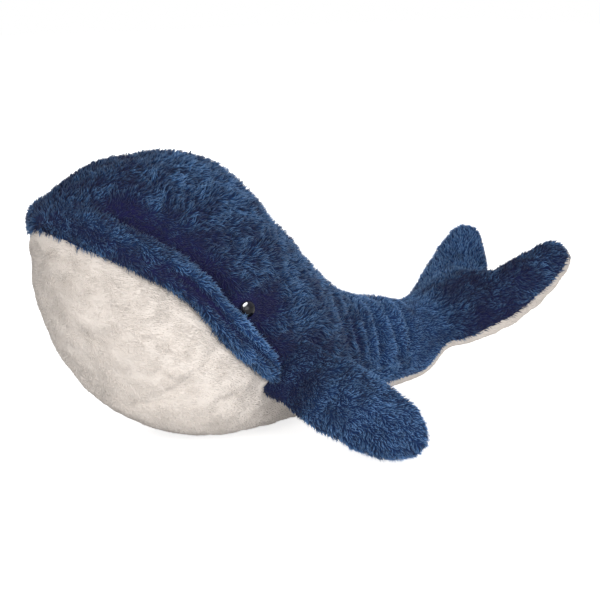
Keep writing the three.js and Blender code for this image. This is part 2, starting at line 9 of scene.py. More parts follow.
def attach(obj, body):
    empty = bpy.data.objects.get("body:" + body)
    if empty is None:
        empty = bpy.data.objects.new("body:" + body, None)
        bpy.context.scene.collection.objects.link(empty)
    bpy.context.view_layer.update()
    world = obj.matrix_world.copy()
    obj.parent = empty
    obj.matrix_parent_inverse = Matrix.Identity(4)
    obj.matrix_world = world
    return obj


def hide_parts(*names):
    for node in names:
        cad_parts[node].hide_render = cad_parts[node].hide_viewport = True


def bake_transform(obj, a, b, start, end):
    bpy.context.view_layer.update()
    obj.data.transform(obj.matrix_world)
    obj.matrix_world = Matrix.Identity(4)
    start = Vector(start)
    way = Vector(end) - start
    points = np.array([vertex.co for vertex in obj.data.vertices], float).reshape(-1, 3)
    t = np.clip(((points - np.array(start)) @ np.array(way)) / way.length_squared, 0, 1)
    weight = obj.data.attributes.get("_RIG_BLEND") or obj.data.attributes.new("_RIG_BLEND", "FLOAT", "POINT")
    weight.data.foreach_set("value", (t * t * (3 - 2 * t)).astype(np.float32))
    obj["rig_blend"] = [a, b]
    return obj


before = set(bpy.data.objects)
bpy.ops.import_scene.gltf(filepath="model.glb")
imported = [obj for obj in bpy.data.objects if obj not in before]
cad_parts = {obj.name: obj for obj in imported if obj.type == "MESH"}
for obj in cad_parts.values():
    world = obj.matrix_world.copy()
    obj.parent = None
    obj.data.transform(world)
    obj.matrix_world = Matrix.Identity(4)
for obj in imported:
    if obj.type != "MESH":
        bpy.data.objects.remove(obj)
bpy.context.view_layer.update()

# A stuffed toy whale in long-pile plush. The stuffed forms are worked out in millimetres, in the
# frame of the CAD parts, and a mesh is in metres. Each panel is a skin with its pile on it.
mm = 0.001


def linear(hexColour):
    channels = [int(hexColour[i:i + 2], 16) / 255 for i in (1, 3, 5)]
    plain = [c / 12.92 if c <= 0.04045 else ((c + 0.055) / 1.055) ** 2.4 for c in channels]
    return (*plain, 1.0)


def addNode(tree, kind, settings=None, inputs=None):
    node = tree.nodes.new(kind)
    for name, value in (settings or {}).items():
        setattr(node, name, value)
    for key, value in (inputs or {}).items():
        if isinstance(value, bpy.types.Node):
            value = value.outputs[0]
        if isinstance(value, bpy.types.NodeSocket):
            tree.links.new(value, node.inputs[key])
        else:
            node.inputs[key].default_value = value
    return node


def smoothStep(low, high, values):
    share = np.clip((np.asarray(values, float) - low) / (high - low), 0, 1)
    return share * share * (3 - 2 * share)


def hump(values, width):
    return np.exp(-(values / width) ** 2)


def turnsOf(count):
    return np.linspace(0, 2 * math.pi, count, endpoint=False)


def mirrored(vector, side):
    return np.array([vector[0], vector[1] * side, vector[2]])


# The node tree of a material or of the world, emptied
def emptyTree(owner):
    owner.use_nodes = True
    owner.node_tree.nodes.clear()
    return owner.node_tree


# The trunk
trunk = {
    "bodyLength": 410.0,
    "headHeight": 250.0,
    "headWidth": 190.0,
    "noseHeight": 198.0,
    "crownCap": 73.8,      # how far back the forehead is full
    "throatCap": 164.0,    # how far back the throat reaches the ground
    "cheekCap": 150.1,     # how far back the head is at its widest
    "restDepth": 0.5,
    "restShare": 0.5,      # where the origin lies along the body
    "roundness": 2.15,     # of the upper half of a section
    "flatness": 2.6,       # of the lower half
    "skinEnd": 386.0,      # how far back its own rings run
    "noseRings": 40,
    "ringStep": 3.0,
    "around": 96,
    # place, crown, underside, width and height of the widest point, all as shares
    "shares": [
        (0.0, 0.904, 0.0, 1, 0.635),
        (0.12, 0.966, 0.0, 1, 0.578),
        (0.26, 1, 0.0, 1, 0.501),
        (0.36, 0.988, 0.0, 1, 0.462),
        (0.43, 0.926, 0.0, 0.98, 0.424),
        (0.5, 0.802, 0.0, 0.92, 0.376),
        (0.58, 0.67, 0.0, 0.81, 0.328),
        (0.66, 0.54, 0.0, 0.67, 0.285),
        (0.75, 0.443, 0.0, 0.56, 0.245),
        (0.84, 0.403, 0.012, 0.49, 0.222),
        (0.92, 0.381, 0.028, 0.45, 0.217),
        (1, 0.357, 0.06, 0.43, 0.22),
    ],
    # place along the body, and the height of the seam between blue and cream
    "seamShares": [
        (0.0, 0.792),
        (0.03, 0.755),
        (0.115, 0.674),
        (0.21, 0.571),
        (0.26, 0.486),
        (0.3, 0.4),
        (0.36, 0.314),
        (0.435, 0.227),
        (0.55, 0.155),
        (0.7, 0.11),
        (0.85, 0.082),
        (1, 0.094),
    ],
}
skinDepth = 3.6    # how far the backing cloth lies under the outline of the pressed pile
clothThick = 1.6


# The values of a table at the places asked for, along one smooth curve through its rows
def readTable(rows, places):
    rows = np.array(rows, float)
    last = len(rows) - 1
    at = np.clip(np.atleast_1d(np.asarray(places, float)), rows[0, 0], rows[last, 0])
    i = np.clip(np.searchsorted(rows[:, 0], at, side="left") - 1, 0, last - 1)
    a, b = rows[i], rows[i + 1]
    before, after = rows[np.maximum(i - 1, 0)], rows[np.minimum(i + 2, last)]
    span = (b[:, :1] - a[:, :1])
    t = (at[:, None] - a[:, :1]) / span
    slopeA = (b - before) / (b[:, :1] - before[:, :1]) * span
    slopeB = (after - a) / (after[:, :1] - a[:, :1]) * span
    t2, t3 = t * t, t * t * t
    leaving = (2 * t3 - 3 * t2 + 1) * a + (t3 - 2 * t2 + t) * slopeA
    value = leaving + (3 * t2 - 2 * t3) * b + (t3 - t2) * slopeB
    return value[:, 1:].T


# How full a rounded end is at a distance from its tip
def capShare(distance, length):
    left = (length - np.maximum(distance, 0)) / length
    return np.where(distance >= length, 1.0, np.sqrt(np.maximum(0, 1 - left ** 2)))


def bent(value, power):
    return np.sign(value) * np.abs(value) ** power


def along(distance):
    return distance - trunk["restShare"] * trunk["bodyLength"]


# One section of the trunk, an inset of some millimetres within its outline
def sectionAt(distance, inset=0.0):
    t = trunk
    distance = np.atleast_1d(np.asarray(distance, float))
    distance, inset = np.broadcast_arrays(distance, inset)
    crown, underside, width, widest = readTable(t["shares"], distance / t["bodyLength"])
    behind = distance - inset
    throat = capShare(behind, t["throatCap"] - inset)
    crownShare = capShare(behind, t["crownCap"] - inset)
    rise = (crown * t["headHeight"] - t["noseHeight"] - inset) * crownShare
    drop = (t["noseHeight"] - underside * t["headHeight"] + t["restDepth"] - inset) * throat
    return {
        "x": along(distance),
        "top": t["noseHeight"] + rise,
        "bottom": t["noseHeight"] - drop,
        "half": (width * t["headWidth"] / 2 - inset) * capShare(behind, t["cheekCap"] - inset),
        "middle": t["noseHeight"] + (widest * t["headHeight"] - t["noseHeight"]) * throat,
    }


def reachOf(section, upper):
    middle = section["middle"]
    return np.where(upper, section["top"] - middle, middle - section["bottom"])


def sectionPoints(section, turn):
    cos, sin = np.cos(turn), np.sin(turn)
    upper = cos > 0
    power = np.where(upper, 2 / trunk["roundness"], 2 / trunk["flatness"])
    reach = reachOf(section, upper)
    y = -section["half"] * bent(sin, power)
    z = section["middle"] + reach * bent(cos, power)
    return np.stack(np.broadcast_arrays(section["x"], y, z), axis=-1)


def halfWidthAt(distance, height, inset=0.0):
    section = sectionAt(distance, inset)
    upper = height > section["middle"]
    share = np.abs(height - section["middle"]) / np.maximum(reachOf(section, upper), 0.1)
    power = np.where(upper, trunk["roundness"], trunk["flatness"])
    half = section["half"] * (1 - np.minimum(share, 1) ** power) ** (1 / power)
    return np.where(share >= 1, 0, half)


def seamHeight(distance):
    places = np.asarray(distance) / trunk["bodyLength"]
    return readTable(trunk["seamShares"], places)[0] * trunk["headHeight"]


# A ring grid as points and faces, with its ends shut
def ringMesh(rings):
    rows, count = rings.shape[:2]
    points = np.vstack([rings.reshape(-1, 3), rings[0].mean(0), rings[-1].mean(0)])
    faces = []
    for i in range(rows - 1):
        for j in range(count):
            a, b = i * count + j, i * count + (j + 1) % count
            faces.append((a, b, b + count, a + count))
    for j in range(count):
        faces.append((rows * count, (j + 1) % count, j))
        a = (rows - 1) * count
        faces.append((rows * count + 1, a + j, a + (j + 1) % count))
    return points, faces


def makeObject(name, points, faces):
    mesh = bpy.data.meshes.new(name)
    mesh.from_pydata((np.asarray(points) * mm).tolist(), [], faces)
    mesh.update()
    made = bpy.data.objects.new(name, mesh)
    bpy.context.scene.collection.objects.link(made)
    return made


# The points of a mesh in millimetres, and the way out at each
def meshArrays(mesh):
    points = np.zeros(len(mesh.vertices) * 3, np.float32)
    mesh.vertices.foreach_get("co", points)
    normals = np.zeros(len(mesh.vertices) * 3, np.float32)
    mesh.vertices.foreach_get("normal", normals)
    return points.reshape(-1, 3).astype(float) / mm, normals.reshape(-1, 3).astype(float)


# The modifiers of a piece worked in, leaving a plain mesh
def applied(piece):
    graph = bpy.context.evaluated_depsgraph_get()
    mesh = bpy.data.meshes.new_from_object(piece.evaluated_get(graph), depsgraph=graph)
    piece.modifiers.clear()
    old = piece.data
    piece.data = mesh
    mesh.name = piece.name
    bpy.data.meshes.remove(old)
    return piece


def remeshed(piece, voxel):
    modifier = piece.modifiers.new("remesh", "REMESH")
    modifier.mode = "VOXEL"
    modifier.voxel_size = voxel * mm
    bpy.context.view_layer.update()
    return applied(piece)


def trunkRings():
    t = trunk
    nose = 1 - np.cos(np.linspace(0, math.pi / 2, t["noseRings"]))
    front = nose * t["throatCap"]
    rear = np.arange(t["throatCap"] + t["ringStep"], t["skinEnd"], t["ringStep"])
    distances = np.concatenate([front, rear])
    started = skinDepth + distances * (t["throatCap"] - skinDepth) / t["throatCap"]
    within = np.where(distances < t["throatCap"], started, distances)
    turns = turnsOf(t["around"])
    return np.array([sectionPoints(sectionAt(d, skinDepth), turns) for d in within])


# Where the tail stock runs on into the flukes
stockEnd = {
    # x, height of the middle, half height, half width
    "rows": [
        (180, 47, 38, 38),
        (198, 49, 37, 37),
        (214, 55, 33, 35),
        (230, 67, 25, 32),
        (246, 81, 13, 22),
    ],
    "power": 0.9,    # under 1, so its sections are a little squared
    "rings": 22,
}


def stockEndRings():
    rows = stockEnd["rows"]
    places = np.linspace(rows[0][0], rows[-1][0], stockEnd["rings"])
    turns = turnsOf(trunk["around"])
    across = bent(np.sin(turns), stockEnd["power"])
    upward = bent(np.cos(turns), stockEnd["power"])
    rings = []
    for x, middle, high, wide in zip(places, *readTable(rows, places)):
        level = np.full_like(across, x)
        rings.append(np.stack([level, -wide * across, middle + high * upward], axis=-1))
    return np.array(rings)


# The flukes
flukes = {
    "halfSpan": 84.0,
    "sweep": 80.0,
    "rise": 50.0,
    "curl": 1.7,
    "chord": 117.0,
    "thickness": 47.0,
    "tipCap": 50.0,
    "pitch": math.radians(11),       # of the chord, at the middle
    "tipPitch": math.radians(56),    # and at the tips
    "forward": 9.0,
    "root": (198.85, 0.0, 60.0),
    "rings": 101,
    "around": 72,
    # place from the middle to a tip, chord, thickness, as shares
    "shares": [
        (0.0, 1.13, 1.5),
        (0.15, 1.1, 1.35),
        (0.35, 1.2, 1.12),
        (0.6, 1.22, 1.05),
        (0.85, 1.0, 1.15),
        (1.0, 0.87, 0.95),
    ],
}


# The ways in which the flukes' chord and thickness lie: they tip up more towards the ends
def flukeWays(y):
    out = np.minimum(1, np.abs(y) / flukes["halfSpan"])
    pitch = flukes["pitch"] + (flukes["tipPitch"] - flukes["pitch"]) * out
    level = np.zeros_like(pitch)
    return (np.stack([np.cos(pitch), level, np.sin(pitch)], axis=-1),
            np.stack([-np.sin(pitch), level, np.cos(pitch)], axis=-1))


# The line of the flukes' middles, from tip to tip
def flukeCentre(y):
    f = flukes
    out = np.abs(y) / f["halfSpan"]
    curl = out ** f["curl"]
    rootChord = f["shares"][0][1] * f["chord"]
    start = np.array(f["root"]) + flukeWays(np.zeros(1))[0][0] * (rootChord / 2 - f["forward"])
    return start + np.stack([curl * f["sweep"], y, curl * f["rise"]], axis=-1)


# Flat oval rings along a line of middles
def ovalRings(centre, chord, thick, chordWay, thickWay, around):
    turns = turnsOf(around)
    return (centre[:, None, :] - (chord[:, None] * np.cos(turns))[..., None] * chordWay
            + (thick[:, None] * np.sin(turns))[..., None] * thickWay)


def flukeRings(inset):
    f = flukes
    y = np.sin(np.linspace(-1, 1, f["rings"]) * math.pi / 2) * (f["halfSpan"] - inset)
    chord, thick = readTable(f["shares"], np.abs(y) / f["halfSpan"])
    tip = capShare(f["halfSpan"] - inset - np.abs(y), f["tipCap"] - inset)
    chord = (chord * f["chord"] / 2 - inset) * tip
    thick = (thick * f["thickness"] / 2 - inset) * tip
    centre = flukeCentre(y)
    chordWay, thickWay = flukeWays(y)
    return ovalRings(centre, chord, thick, chordWay[:, None, :], thickWay[:, None, :], f["around"])


# Positions eased towards the mean of their neighbours, each by its own share
def eased(points, faces, shares, rounds):
    runs = np.stack([faces.ravel(), np.roll(faces, -1, axis=1).ravel()])
    a, b = np.unique(np.sort(runs, axis=0), axis=1)
    counts = np.bincount(np.concatenate([a, b]), minlength=len(points)).astype(float)
    for _ in range(rounds):
        total = np.zeros_like(points)
        for k in range(3):
            total[:, k] = (np.bincount(a, points[b, k], len(points))
                           + np.bincount(b, points[a, k], len(points)))
        points = points + (total / counts[:, None] - points) * shares[:, None]
    return points


# What the filling does: a coarse copy of a skin is blown up as cloth between the places that hold
# it, most of its swelling as a whole is taken off again, and the fine skin follows it
filling = {
    "pressure": 4.0,
    "shrink": -0.02,
    "frames": 20,
    "swell": 1.2,    # how far the free cloth stands out in the end, in millimetres
    "most": 4.5,     # and how far any of it may move
    "free": 0.3,     # cloth held by less than this counts as free
    "near": 5,       # how many coarse points a fine one follows
}


def filledOut(points, faces, voxel, holding):
    coarse = remeshed(makeObject("filledOut", points, faces.tolist()), voxel)
    start, normals = meshArrays(coarse.data)
    held = np.clip(holding(start), 0, 1)
    group = coarse.vertex_groups.new(name="held")
    for i, share in enumerate(held):
        group.add([i], float(share), "REPLACE")
    cloth = coarse.modifiers.new("cloth", "CLOTH")
    cloth.settings.use_pressure = True
    cloth.settings.uniform_pressure_force = filling["pressure"]
    cloth.settings.vertex_group_mass = "held"
    cloth.settings.shrink_min = filling["shrink"]
    cloth.settings.effector_weights.gravity = 0
    cloth.collision_settings.use_collision = False
    cloth.point_cache.frame_end = filling["frames"]
    for step in range(1, filling["frames"] + 1):
        bpy.context.scene.frame_set(step)
    graph = bpy.context.evaluated_depsgraph_get()
    swollen = meshArrays(coarse.evaluated_get(graph).to_mesh())[0]
    bpy.context.scene.frame_set(1)
    bpy.data.objects.remove(coarse)
    moved = swollen - start
    outward = (moved * normals).sum(axis=1)
    usual = np.median(outward[held < filling["free"]])
    moved = moved - normals * ((usual - filling["swell"]) * (1 - held))[:, None]
    size = np.linalg.norm(moved, axis=1, keepdims=True)
    moved = moved * np.minimum(1, filling["most"] / np.maximum(size, 1e-6))
    tree = kdtree.KDTree(len(start))
    for i, point in enumerate(start):
        tree.insert(point, i)
    tree.balance()
    follow = np.zeros_like(points)
    for i, point in enumerate(points):
        near = tree.find_n(point, filling["near"])
        shares = np.array([1 / (away + 1.0) for _, _, away in near])
        moves = moved[[index for _, index, _ in near]]
        follow[i] = (shares[:, None] * moves).sum(axis=0) / shares.sum()
    largest = np.linalg.norm(follow, axis=1).max()
    print("filled out", len(start), "points, usual swelling", round(float(usual), 2),
          "mm, most kept", round(float(largest), 2), "mm")
    return points + follow


def noiseAt(points, size, seed):
    offset = Vector((seed * 7.3, seed * 3.1, seed * 5.7))
    return np.array([noise.noise(Vector(p) / size + offset) for p in points])


# The lumps of a filling, and the smaller dents between them
def lumpsOf(points, look, seed):
    return (noiseAt(points, look["lumpSize"], seed) * look["lumpDepth"]
            + noiseAt(points, look["dentSize"], seed + 1) * look["dentDepth"])


body = {
    "voxel": 3.0,
    "coarseVoxel": 6.0,         # of the copy that the filling works on
    "lumpSize": 42.0,
    "lumpDepth": 1.6,
    "dentSize": 17.0,
    "dentDepth": 0.8,
    "easing": 0.12,             # how much of an unevenness each round takes away
    "joinEasing": 0.5,          # and how much more where the flukes are sewn on
    "easingRounds": 16,
    "eyeBare": 0.9,             # of the bead's radius, where no pile stands
}


def bodySkin():
    parts = [ringMesh(trunkRings()), ringMesh(stockEndRings()), ringMesh(flukeRings(skinDepth))]
    points, faces, start = [], [], 0
    for partPoints, partFaces in parts:
        points.append(partPoints)
        faces += [tuple(i + start for i in face) for face in partFaces]
        start += len(partPoints)
    made = makeObject("bodySkin", np.vstack(points), faces)
    return remeshed(made, body["voxel"])


# The colours of each cloth's pile, from the root of a tuft to its tip, with painted shade darker at the root
# and a painted highlight paler at the tip, and the deep colour, which is painted shade where the pile lies
# in a crease
bluePile = {
    "root": "#0f1d3c",
    "middle": "#254772",
    "tip": "#7093bd",
    "deep": "#1e1b47",
    "roughness": 0.9,
}
creamPile = {
    "root": "#dad2cb",
    "middle": "#dcd4cd",
    "tip": "#e0d9d3",
    "deep": "#c8bdb5",
    "roughness": 0.92,
}


# Long-pile polyester plush, knitted and sheared: matt, with painted shade darker at the root, and a
# painted highlight paler where a tuft's tip catches the light. A high tone is brighter, and a low one
# turns to the deep colour: tone partly differs at random, and partly is painted light and painted shade.
def plushMaterial(name, look):
    material = bpy.data.materials.new(name)
    tree = emptyTree(material)
    tone = addNode(tree, "ShaderNodeAttribute", {"attribute_name": "tone"}).outputs["Fac"]
    height = addNode(tree, "ShaderNodeAttribute", {"attribute_name": "height"}).outputs["Fac"]
    ramp = addNode(tree, "ShaderNodeValToRGB", inputs={"Fac": height})
    stops = ramp.color_ramp.elements
    stops[0].color, stops[0].position = linear(look["root"]), 0.0
    stops[1].color, stops[1].position = linear(look["tip"]), 1.0
    stops.new(0.45).color = linear(look["middle"])
    # Painted shade: a low tone mixes in the deep colour
    shade = addNode(tree, "ShaderNodeMapRange", inputs={
        "Value": tone, "From Min": 0.55, "From Max": 0.0, "To Min": 0.0, "To Max": 0.85})
    toned = addNode(tree, "ShaderNodeMix", {"data_type": "RGBA"},
                    {0: shade.outputs[0], 6: ramp.outputs["Color"], 7: linear(look["deep"])})
    # Painted light: a high tone makes the colour brighter
    light = addNode(tree, "ShaderNodeMapRange", inputs={
        "Value": tone, "From Min": 0.4, "From Max": 1.0, "To Min": 0.86, "To Max": 1.75})
    lit = addNode(tree, "ShaderNodeVectorMath", {"operation": "SCALE"},
                  {0: toned.outputs[2], "Scale": light.outputs[0]})
    rough = addNode(tree, "ShaderNodeMapRange", inputs={
        "Value": height, "To Min": 1.0, "To Max": look["roughness"]})
    shader = addNode(tree, "ShaderNodeBsdfPrincipled", inputs={
        "Base Color": lit.outputs[0], "Roughness": rough.outputs[0], "IOR": 1.46,
        "Specular IOR Level": 0.12, "Sheen Weight": 0.07, "Sheen Roughness": 0.5})
    addNode(tree, "ShaderNodeOutputMaterial", inputs={"Surface": shader.outputs[0]})
    return material


bluePlush = plushMaterial("bluePlush", bluePile)
creamPlush = plushMaterial("creamPlush", creamPile)


# The settings of a pile that are sizes in millimetres, and those that are plain numbers
pileSizes = ("Spacing", "Length", "Width", "Clump Size", "Swirl Size")
pileShares = ("Lean", "Bend", "Curl", "Shake", "Clump Pull", "Swirl", "Patches", "Clump Tone")


# The tree that grows a pile on a skin. The skin carries the way its pile is combed, its length and
# its tone.
def pileTree():
    tree = bpy.data.node_groups.new("pile", "GeometryNodeTree")
    tree.interface.new_socket("Geometry", in_out="INPUT", socket_type="NodeSocketGeometry")
    for name in pileSizes + pileShares:
        tree.interface.new_socket(name, in_out="INPUT", socket_type="NodeSocketFloat")
    tree.interface.new_socket("Seed", in_out="INPUT", socket_type="NodeSocketInt")
    tree.interface.new_socket("Cloth", in_out="INPUT", socket_type="NodeSocketMaterial")
    tree.interface.new_socket("Geometry", in_out="OUTPUT", socket_type="NodeSocketGeometry")
    given = tree.nodes.new("NodeGroupInput").outputs

    maths, vectors = "ShaderNodeMath", "ShaderNodeVectorMath"
    storing, chance = "GeometryNodeStoreNamedAttribute", "FunctionNodeRandomValue"
    plus, minus, times, over, scaled, timesPlus = [{"operation": word} for word in (
        "ADD", "SUBTRACT", "MULTIPLY", "DIVIDE", "SCALE", "MULTIPLY_ADD")]
    number, triple = {"data_type": "FLOAT"}, {"data_type": "FLOAT_VECTOR"}
    onPoints = {**number, "domain": "POINT"}
    attributes = {}
    for name, kind in (("furred", "BOOLEAN"), ("comb", "FLOAT_VECTOR"), ("rim", "FLOAT_VECTOR"),
                       ("pile", "FLOAT"), ("tone", "FLOAT"), ("height", "FLOAT")):
        attributes[name] = addNode(tree, "GeometryNodeInputNamedAttribute",
                                   {"data_type": kind}, {"Name": name})
    place = addNode(tree, "GeometryNodeInputPosition")
    clumpScale = addNode(tree, maths, over, {0: 1.0, 1: given["Clump Size"]})
    swirlScale = addNode(tree, maths, over, {0: 1.0, 1: given["Swirl Size"]})
    clouds = {}
    for name, scale, detail, shift in (
            ("turn", swirlScale, 1.0, 0.31), ("lean", clumpScale, 1.0, 1.7),
            ("patch", swirlScale, 3.0, 4.1), ("ground", clumpScale, 2.0, 2.9)):
        moved = addNode(tree, vectors, plus, {0: place, 1: (shift, shift * 0.7, shift * 1.3)})
        clouds[name] = addNode(tree, "ShaderNodeTexNoise", inputs={
            "Vector": moved, "Scale": scale, "Detail": detail})

    # The places of the tufts
    apart = given["Spacing"]
    square = addNode(tree, maths, times, {0: apart, 1: apart})
    most = addNode(tree, maths, over, {0: 3.0, 1: square})
    evenly = {"distribute_method": "POISSON"}
    scattered = addNode(tree, "GeometryNodeDistributePointsOnFaces", evenly, {
        "Mesh": given["Geometry"], "Selection": attributes["furred"], "Distance Min": apart,
        "Density Max": most, "Seed": given["Seed"]})
    out = scattered.outputs["Normal"]

    # One tuft: a spike with three sides, fuller at the middle and bent towards its tip
    spike = addNode(tree, "GeometryNodeMeshCone", {"fill_type": "NGON"}, {
        "Vertices": 3, "Side Segments": 2, "Fill Segments": 1,
        "Radius Top": 0.0, "Radius Bottom": 1.0, "Depth": 1.0})
    parts = addNode(tree, "ShaderNodeSeparateXYZ", inputs={0: place}).outputs
    high = addNode(tree, storing, onPoints, {
        "Geometry": spike.outputs["Mesh"], "Name": "height", "Value": parts[2]})
    around = addNode(tree, "ShaderNodeCombineXYZ", inputs={"X": parts[0], "Y": parts[1]})
    aside = addNode(tree, vectors, scaled, {0: around, "Scale": 0.012})
    rim = addNode(tree, storing, {**triple, "domain": "POINT"}, {
        "Geometry": high, "Name": "rim", "Value": aside})
    turned = addNode(tree, maths, times, {0: parts[2], 1: math.pi})
    swell = addNode(tree, maths, {"operation": "SINE"}, {0: turned})
    full = addNode(tree, maths, timesPlus, {0: swell, 1: 0.6, 2: 1.0})
    raised = addNode(tree, maths, {"operation": "POWER"}, {0: parts[2], 1: 2.0})
    curve = addNode(tree, maths, times, {0: given["Bend"], 1: raised})
    bowed = addNode(tree, maths, timesPlus, {0: parts[0], 1: full, 2: curve})
    fuller = addNode(tree, maths, times, {0: parts[1], 1: full})
    shaped = addNode(tree, "ShaderNodeCombineXYZ", inputs={"X": bowed, "Y": fuller, "Z": parts[2]})
    tuft = addNode(tree, "GeometryNodeSetPosition", inputs={"Geometry": rim, "Position": shaped})
    smooth = addNode(tree, "GeometryNodeSetShadeSmooth", inputs={"Geometry": tuft})

    # The way each tuft lies: combed, swirled, drawn towards its clump, shaken, and sunk by its foot
    unturned = addNode(tree, maths, minus, {0: clouds["turn"], 1: 0.5})
    turning = addNode(tree, maths, times, {0: unturned, 1: given["Swirl"]})
    swirled = addNode(tree, "ShaderNodeVectorRotate", {"rotation_type": "AXIS_ANGLE"}, {
        "Vector": attributes["comb"], "Center": (0, 0, 0), "Axis": out, "Angle": turning})
    leanShare = addNode(tree, maths, timesPlus, {0: clouds["lean"], 1: 0.9, 2: 0.55})
    leaning = addNode(tree, maths, times, {0: given["Lean"], 1: leanShare})
    longest = addNode(tree, maths, times, {0: given["Length"], 1: attributes["pile"]})
    lengthShare = addNode(tree, chance, number, {"Min": 0.75, "Max": 1.15, "Seed": 3}).outputs[1]
    lengths = addNode(tree, maths, times, {0: longest, 1: lengthShare})
    cells = addNode(tree, "ShaderNodeTexVoronoi", {"feature": "F1"}, {
        "Vector": place, "Scale": clumpScale, "Randomness": 1.0})
    pull = addNode(tree, vectors, minus, {0: cells.outputs["Position"], 1: place})
    rising = addNode(tree, vectors, {"operation": "DOT_PRODUCT"},
                     {0: pull, 1: out}).outputs["Value"]
    lifted = addNode(tree, vectors, scaled, {0: out, "Scale": rising})
    level = addNode(tree, vectors, minus, {0: pull, 1: lifted})
    pullShare = addNode(tree, maths, over, {0: given["Clump Pull"], 1: given["Length"]})
    drawn = addNode(tree, vectors, scaled, {0: level, "Scale": pullShare})
    standing = addNode(tree, maths, {"operation": "COSINE"}, {0: leaning})
    lying = addNode(tree, maths, {"operation": "SINE"}, {0: leaning})
    upright = addNode(tree, vectors, scaled, {0: out, "Scale": standing})
    laid = addNode(tree, vectors, scaled, {0: swirled, "Scale": lying})
    anyWay = addNode(tree, chance, triple, {"Min": (-1, -1, -1), "Max": (1, 1, 1), "Seed": 5})
    shake = addNode(tree, vectors, scaled, {0: anyWay, "Scale": given["Shake"]})
    combed = addNode(tree, vectors, plus, {0: upright, 1: laid})
    clumped = addNode(tree, vectors, plus, {0: combed, 1: drawn})
    way = addNode(tree, vectors, plus, {0: clumped, 1: shake})
    anyTurn = addNode(tree, chance, number, {"Min": -1.0, "Max": 1.0, "Seed": 8}).outputs[1]
    curling = addNode(tree, maths, times, {0: anyTurn, 1: given["Curl"]})
    bendWay = addNode(tree, "ShaderNodeVectorRotate", {"rotation_type": "AXIS_ANGLE"}, {
        "Vector": swirled, "Center": (0, 0, 0), "Axis": out, "Angle": curling})
    facing = addNode(tree, "FunctionNodeAxesToRotation",
                     {"primary_axis": "Z", "secondary_axis": "X"},
                     {"Primary Axis": way, "Secondary Axis": bendWay})
    widthShare = addNode(tree, chance, number, {"Min": 0.7, "Max": 1.25, "Seed": 11}).outputs[1]
    wide = addNode(tree, maths, times, {0: given["Width"], 1: widthShare})
    size = addNode(tree, "ShaderNodeCombineXYZ", inputs={"X": wide, "Y": wide, "Z": lengths})
    sinking = addNode(tree, maths, times, {0: given["Width"], 1: -0.7})
    downward = addNode(tree, vectors, scaled, {0: out, "Scale": sinking})
    sunk = addNode(tree, "GeometryNodeSetPosition", inputs={
        "Geometry": scattered, "Offset": downward})
    tufts = addNode(tree, "GeometryNodeInstanceOnPoints", inputs={
        "Points": sunk, "Instance": smooth, "Rotation": facing, "Scale": size})

    # Each tuft's own tone: by clump, by patch, and a little by chance
    clumpTone = addNode(tree, "FunctionNodeSeparateColor", inputs={0: cells.outputs["Color"]})
    anyTone = addNode(tree, chance, number, {"Min": -0.45, "Max": 0.45, "Seed": 21}).outputs[1]
    ownTone = addNode(tree, maths, times, {0: anyTone, 1: given["Clump Tone"]})
    middles = [addNode(tree, maths, minus, {0: value, 1: 0.5})
               for value in (clumpTone, clouds["patch"])]
    byClump = addNode(tree, maths, timesPlus, {
        0: middles[0], 1: given["Clump Tone"], 2: ownTone})
    byPatch = addNode(tree, maths, timesPlus, {
        0: middles[1], 1: given["Patches"], 2: byClump})
    tones = addNode(tree, maths, plus, {0: byPatch, 1: attributes["tone"]})
    within = addNode(tree, "ShaderNodeClamp", inputs={0: tones})
    kept = addNode(tree, storing, {**number, "domain": "INSTANCE"}, {
        "Geometry": tufts, "Name": "tone", "Value": within})
    lowHeight = addNode(tree, maths, times, {0: clouds["ground"], 1: 0.12})
    bare = addNode(tree, storing, onPoints, {
        "Geometry": given["Geometry"], "Name": "height", "Value": lowHeight})
    both = addNode(tree, "GeometryNodeJoinGeometry", inputs={0: kept})
    tree.links.new(bare.outputs[0], both.inputs[0])
    grown = addNode(tree, "GeometryNodeRealizeInstances", inputs={"Geometry": both})

    # The map that lays the colours out: tone across and height up, within a margin
    inward = {1: 0.94, 2: 0.03}
    across = addNode(tree, maths, timesPlus, {0: attributes["tone"], **inward})
    upwards = addNode(tree, maths, timesPlus, {0: attributes["height"], **inward})
    plain = addNode(tree, "ShaderNodeCombineXYZ", inputs={"X": across, "Y": upwards})
    spread = addNode(tree, vectors, plus, {0: plain, 1: attributes["rim"]})
    mapped = addNode(tree, storing, {"data_type": "FLOAT2", "domain": "CORNER"}, {
        "Geometry": grown, "Name": "OFBake", "Value": spread})
    dressedPile = addNode(tree, "GeometryNodeSetMaterial", inputs={
        "Geometry": mapped, "Material": given["Cloth"]})
    addNode(tree, "NodeGroupOutput", inputs={0: dressedPile})
    return tree


pile = pileTree()


def socketOf(tree, name):
    for socket in tree.interface.items_tree:
        if socket.name == name and socket.in_out == "INPUT":
            return socket.identifier


def growPile(piece, look, cloth):
    modifier = piece.modifiers.new("pile", "NODES")
    modifier.node_group = pile
    for name, value in look.items():
        modifier[socketOf(pile, name)] = value * mm if name in pileSizes else value
    modifier[socketOf(pile, "Cloth")] = cloth
    bpy.context.view_layer.update()
    applied(piece)
    for name in ("comb", "pile", "furred", "rim"):
        attribute = piece.data.attributes.get(name)
        if attribute:
            piece.data.attributes.remove(attribute)
    keepOffGround(piece)


# Pile that meets the ground is pressed flat on it
pressed = {"height": 0.6, "share": 0.05}


def keepOffGround(piece):
    mesh = piece.data
    points = np.zeros(len(mesh.vertices) * 3, np.float32)
    mesh.vertices.foreach_get("co", points)
    points = points.reshape(-1, 3)
    ground = pressed["height"] * mm
    low = points[:, 2] < ground
    points[low, 2] = ground + (points[low, 2] - ground) * pressed["share"]
    mesh.vertices.foreach_set("co", points.ravel())
    mesh.update()


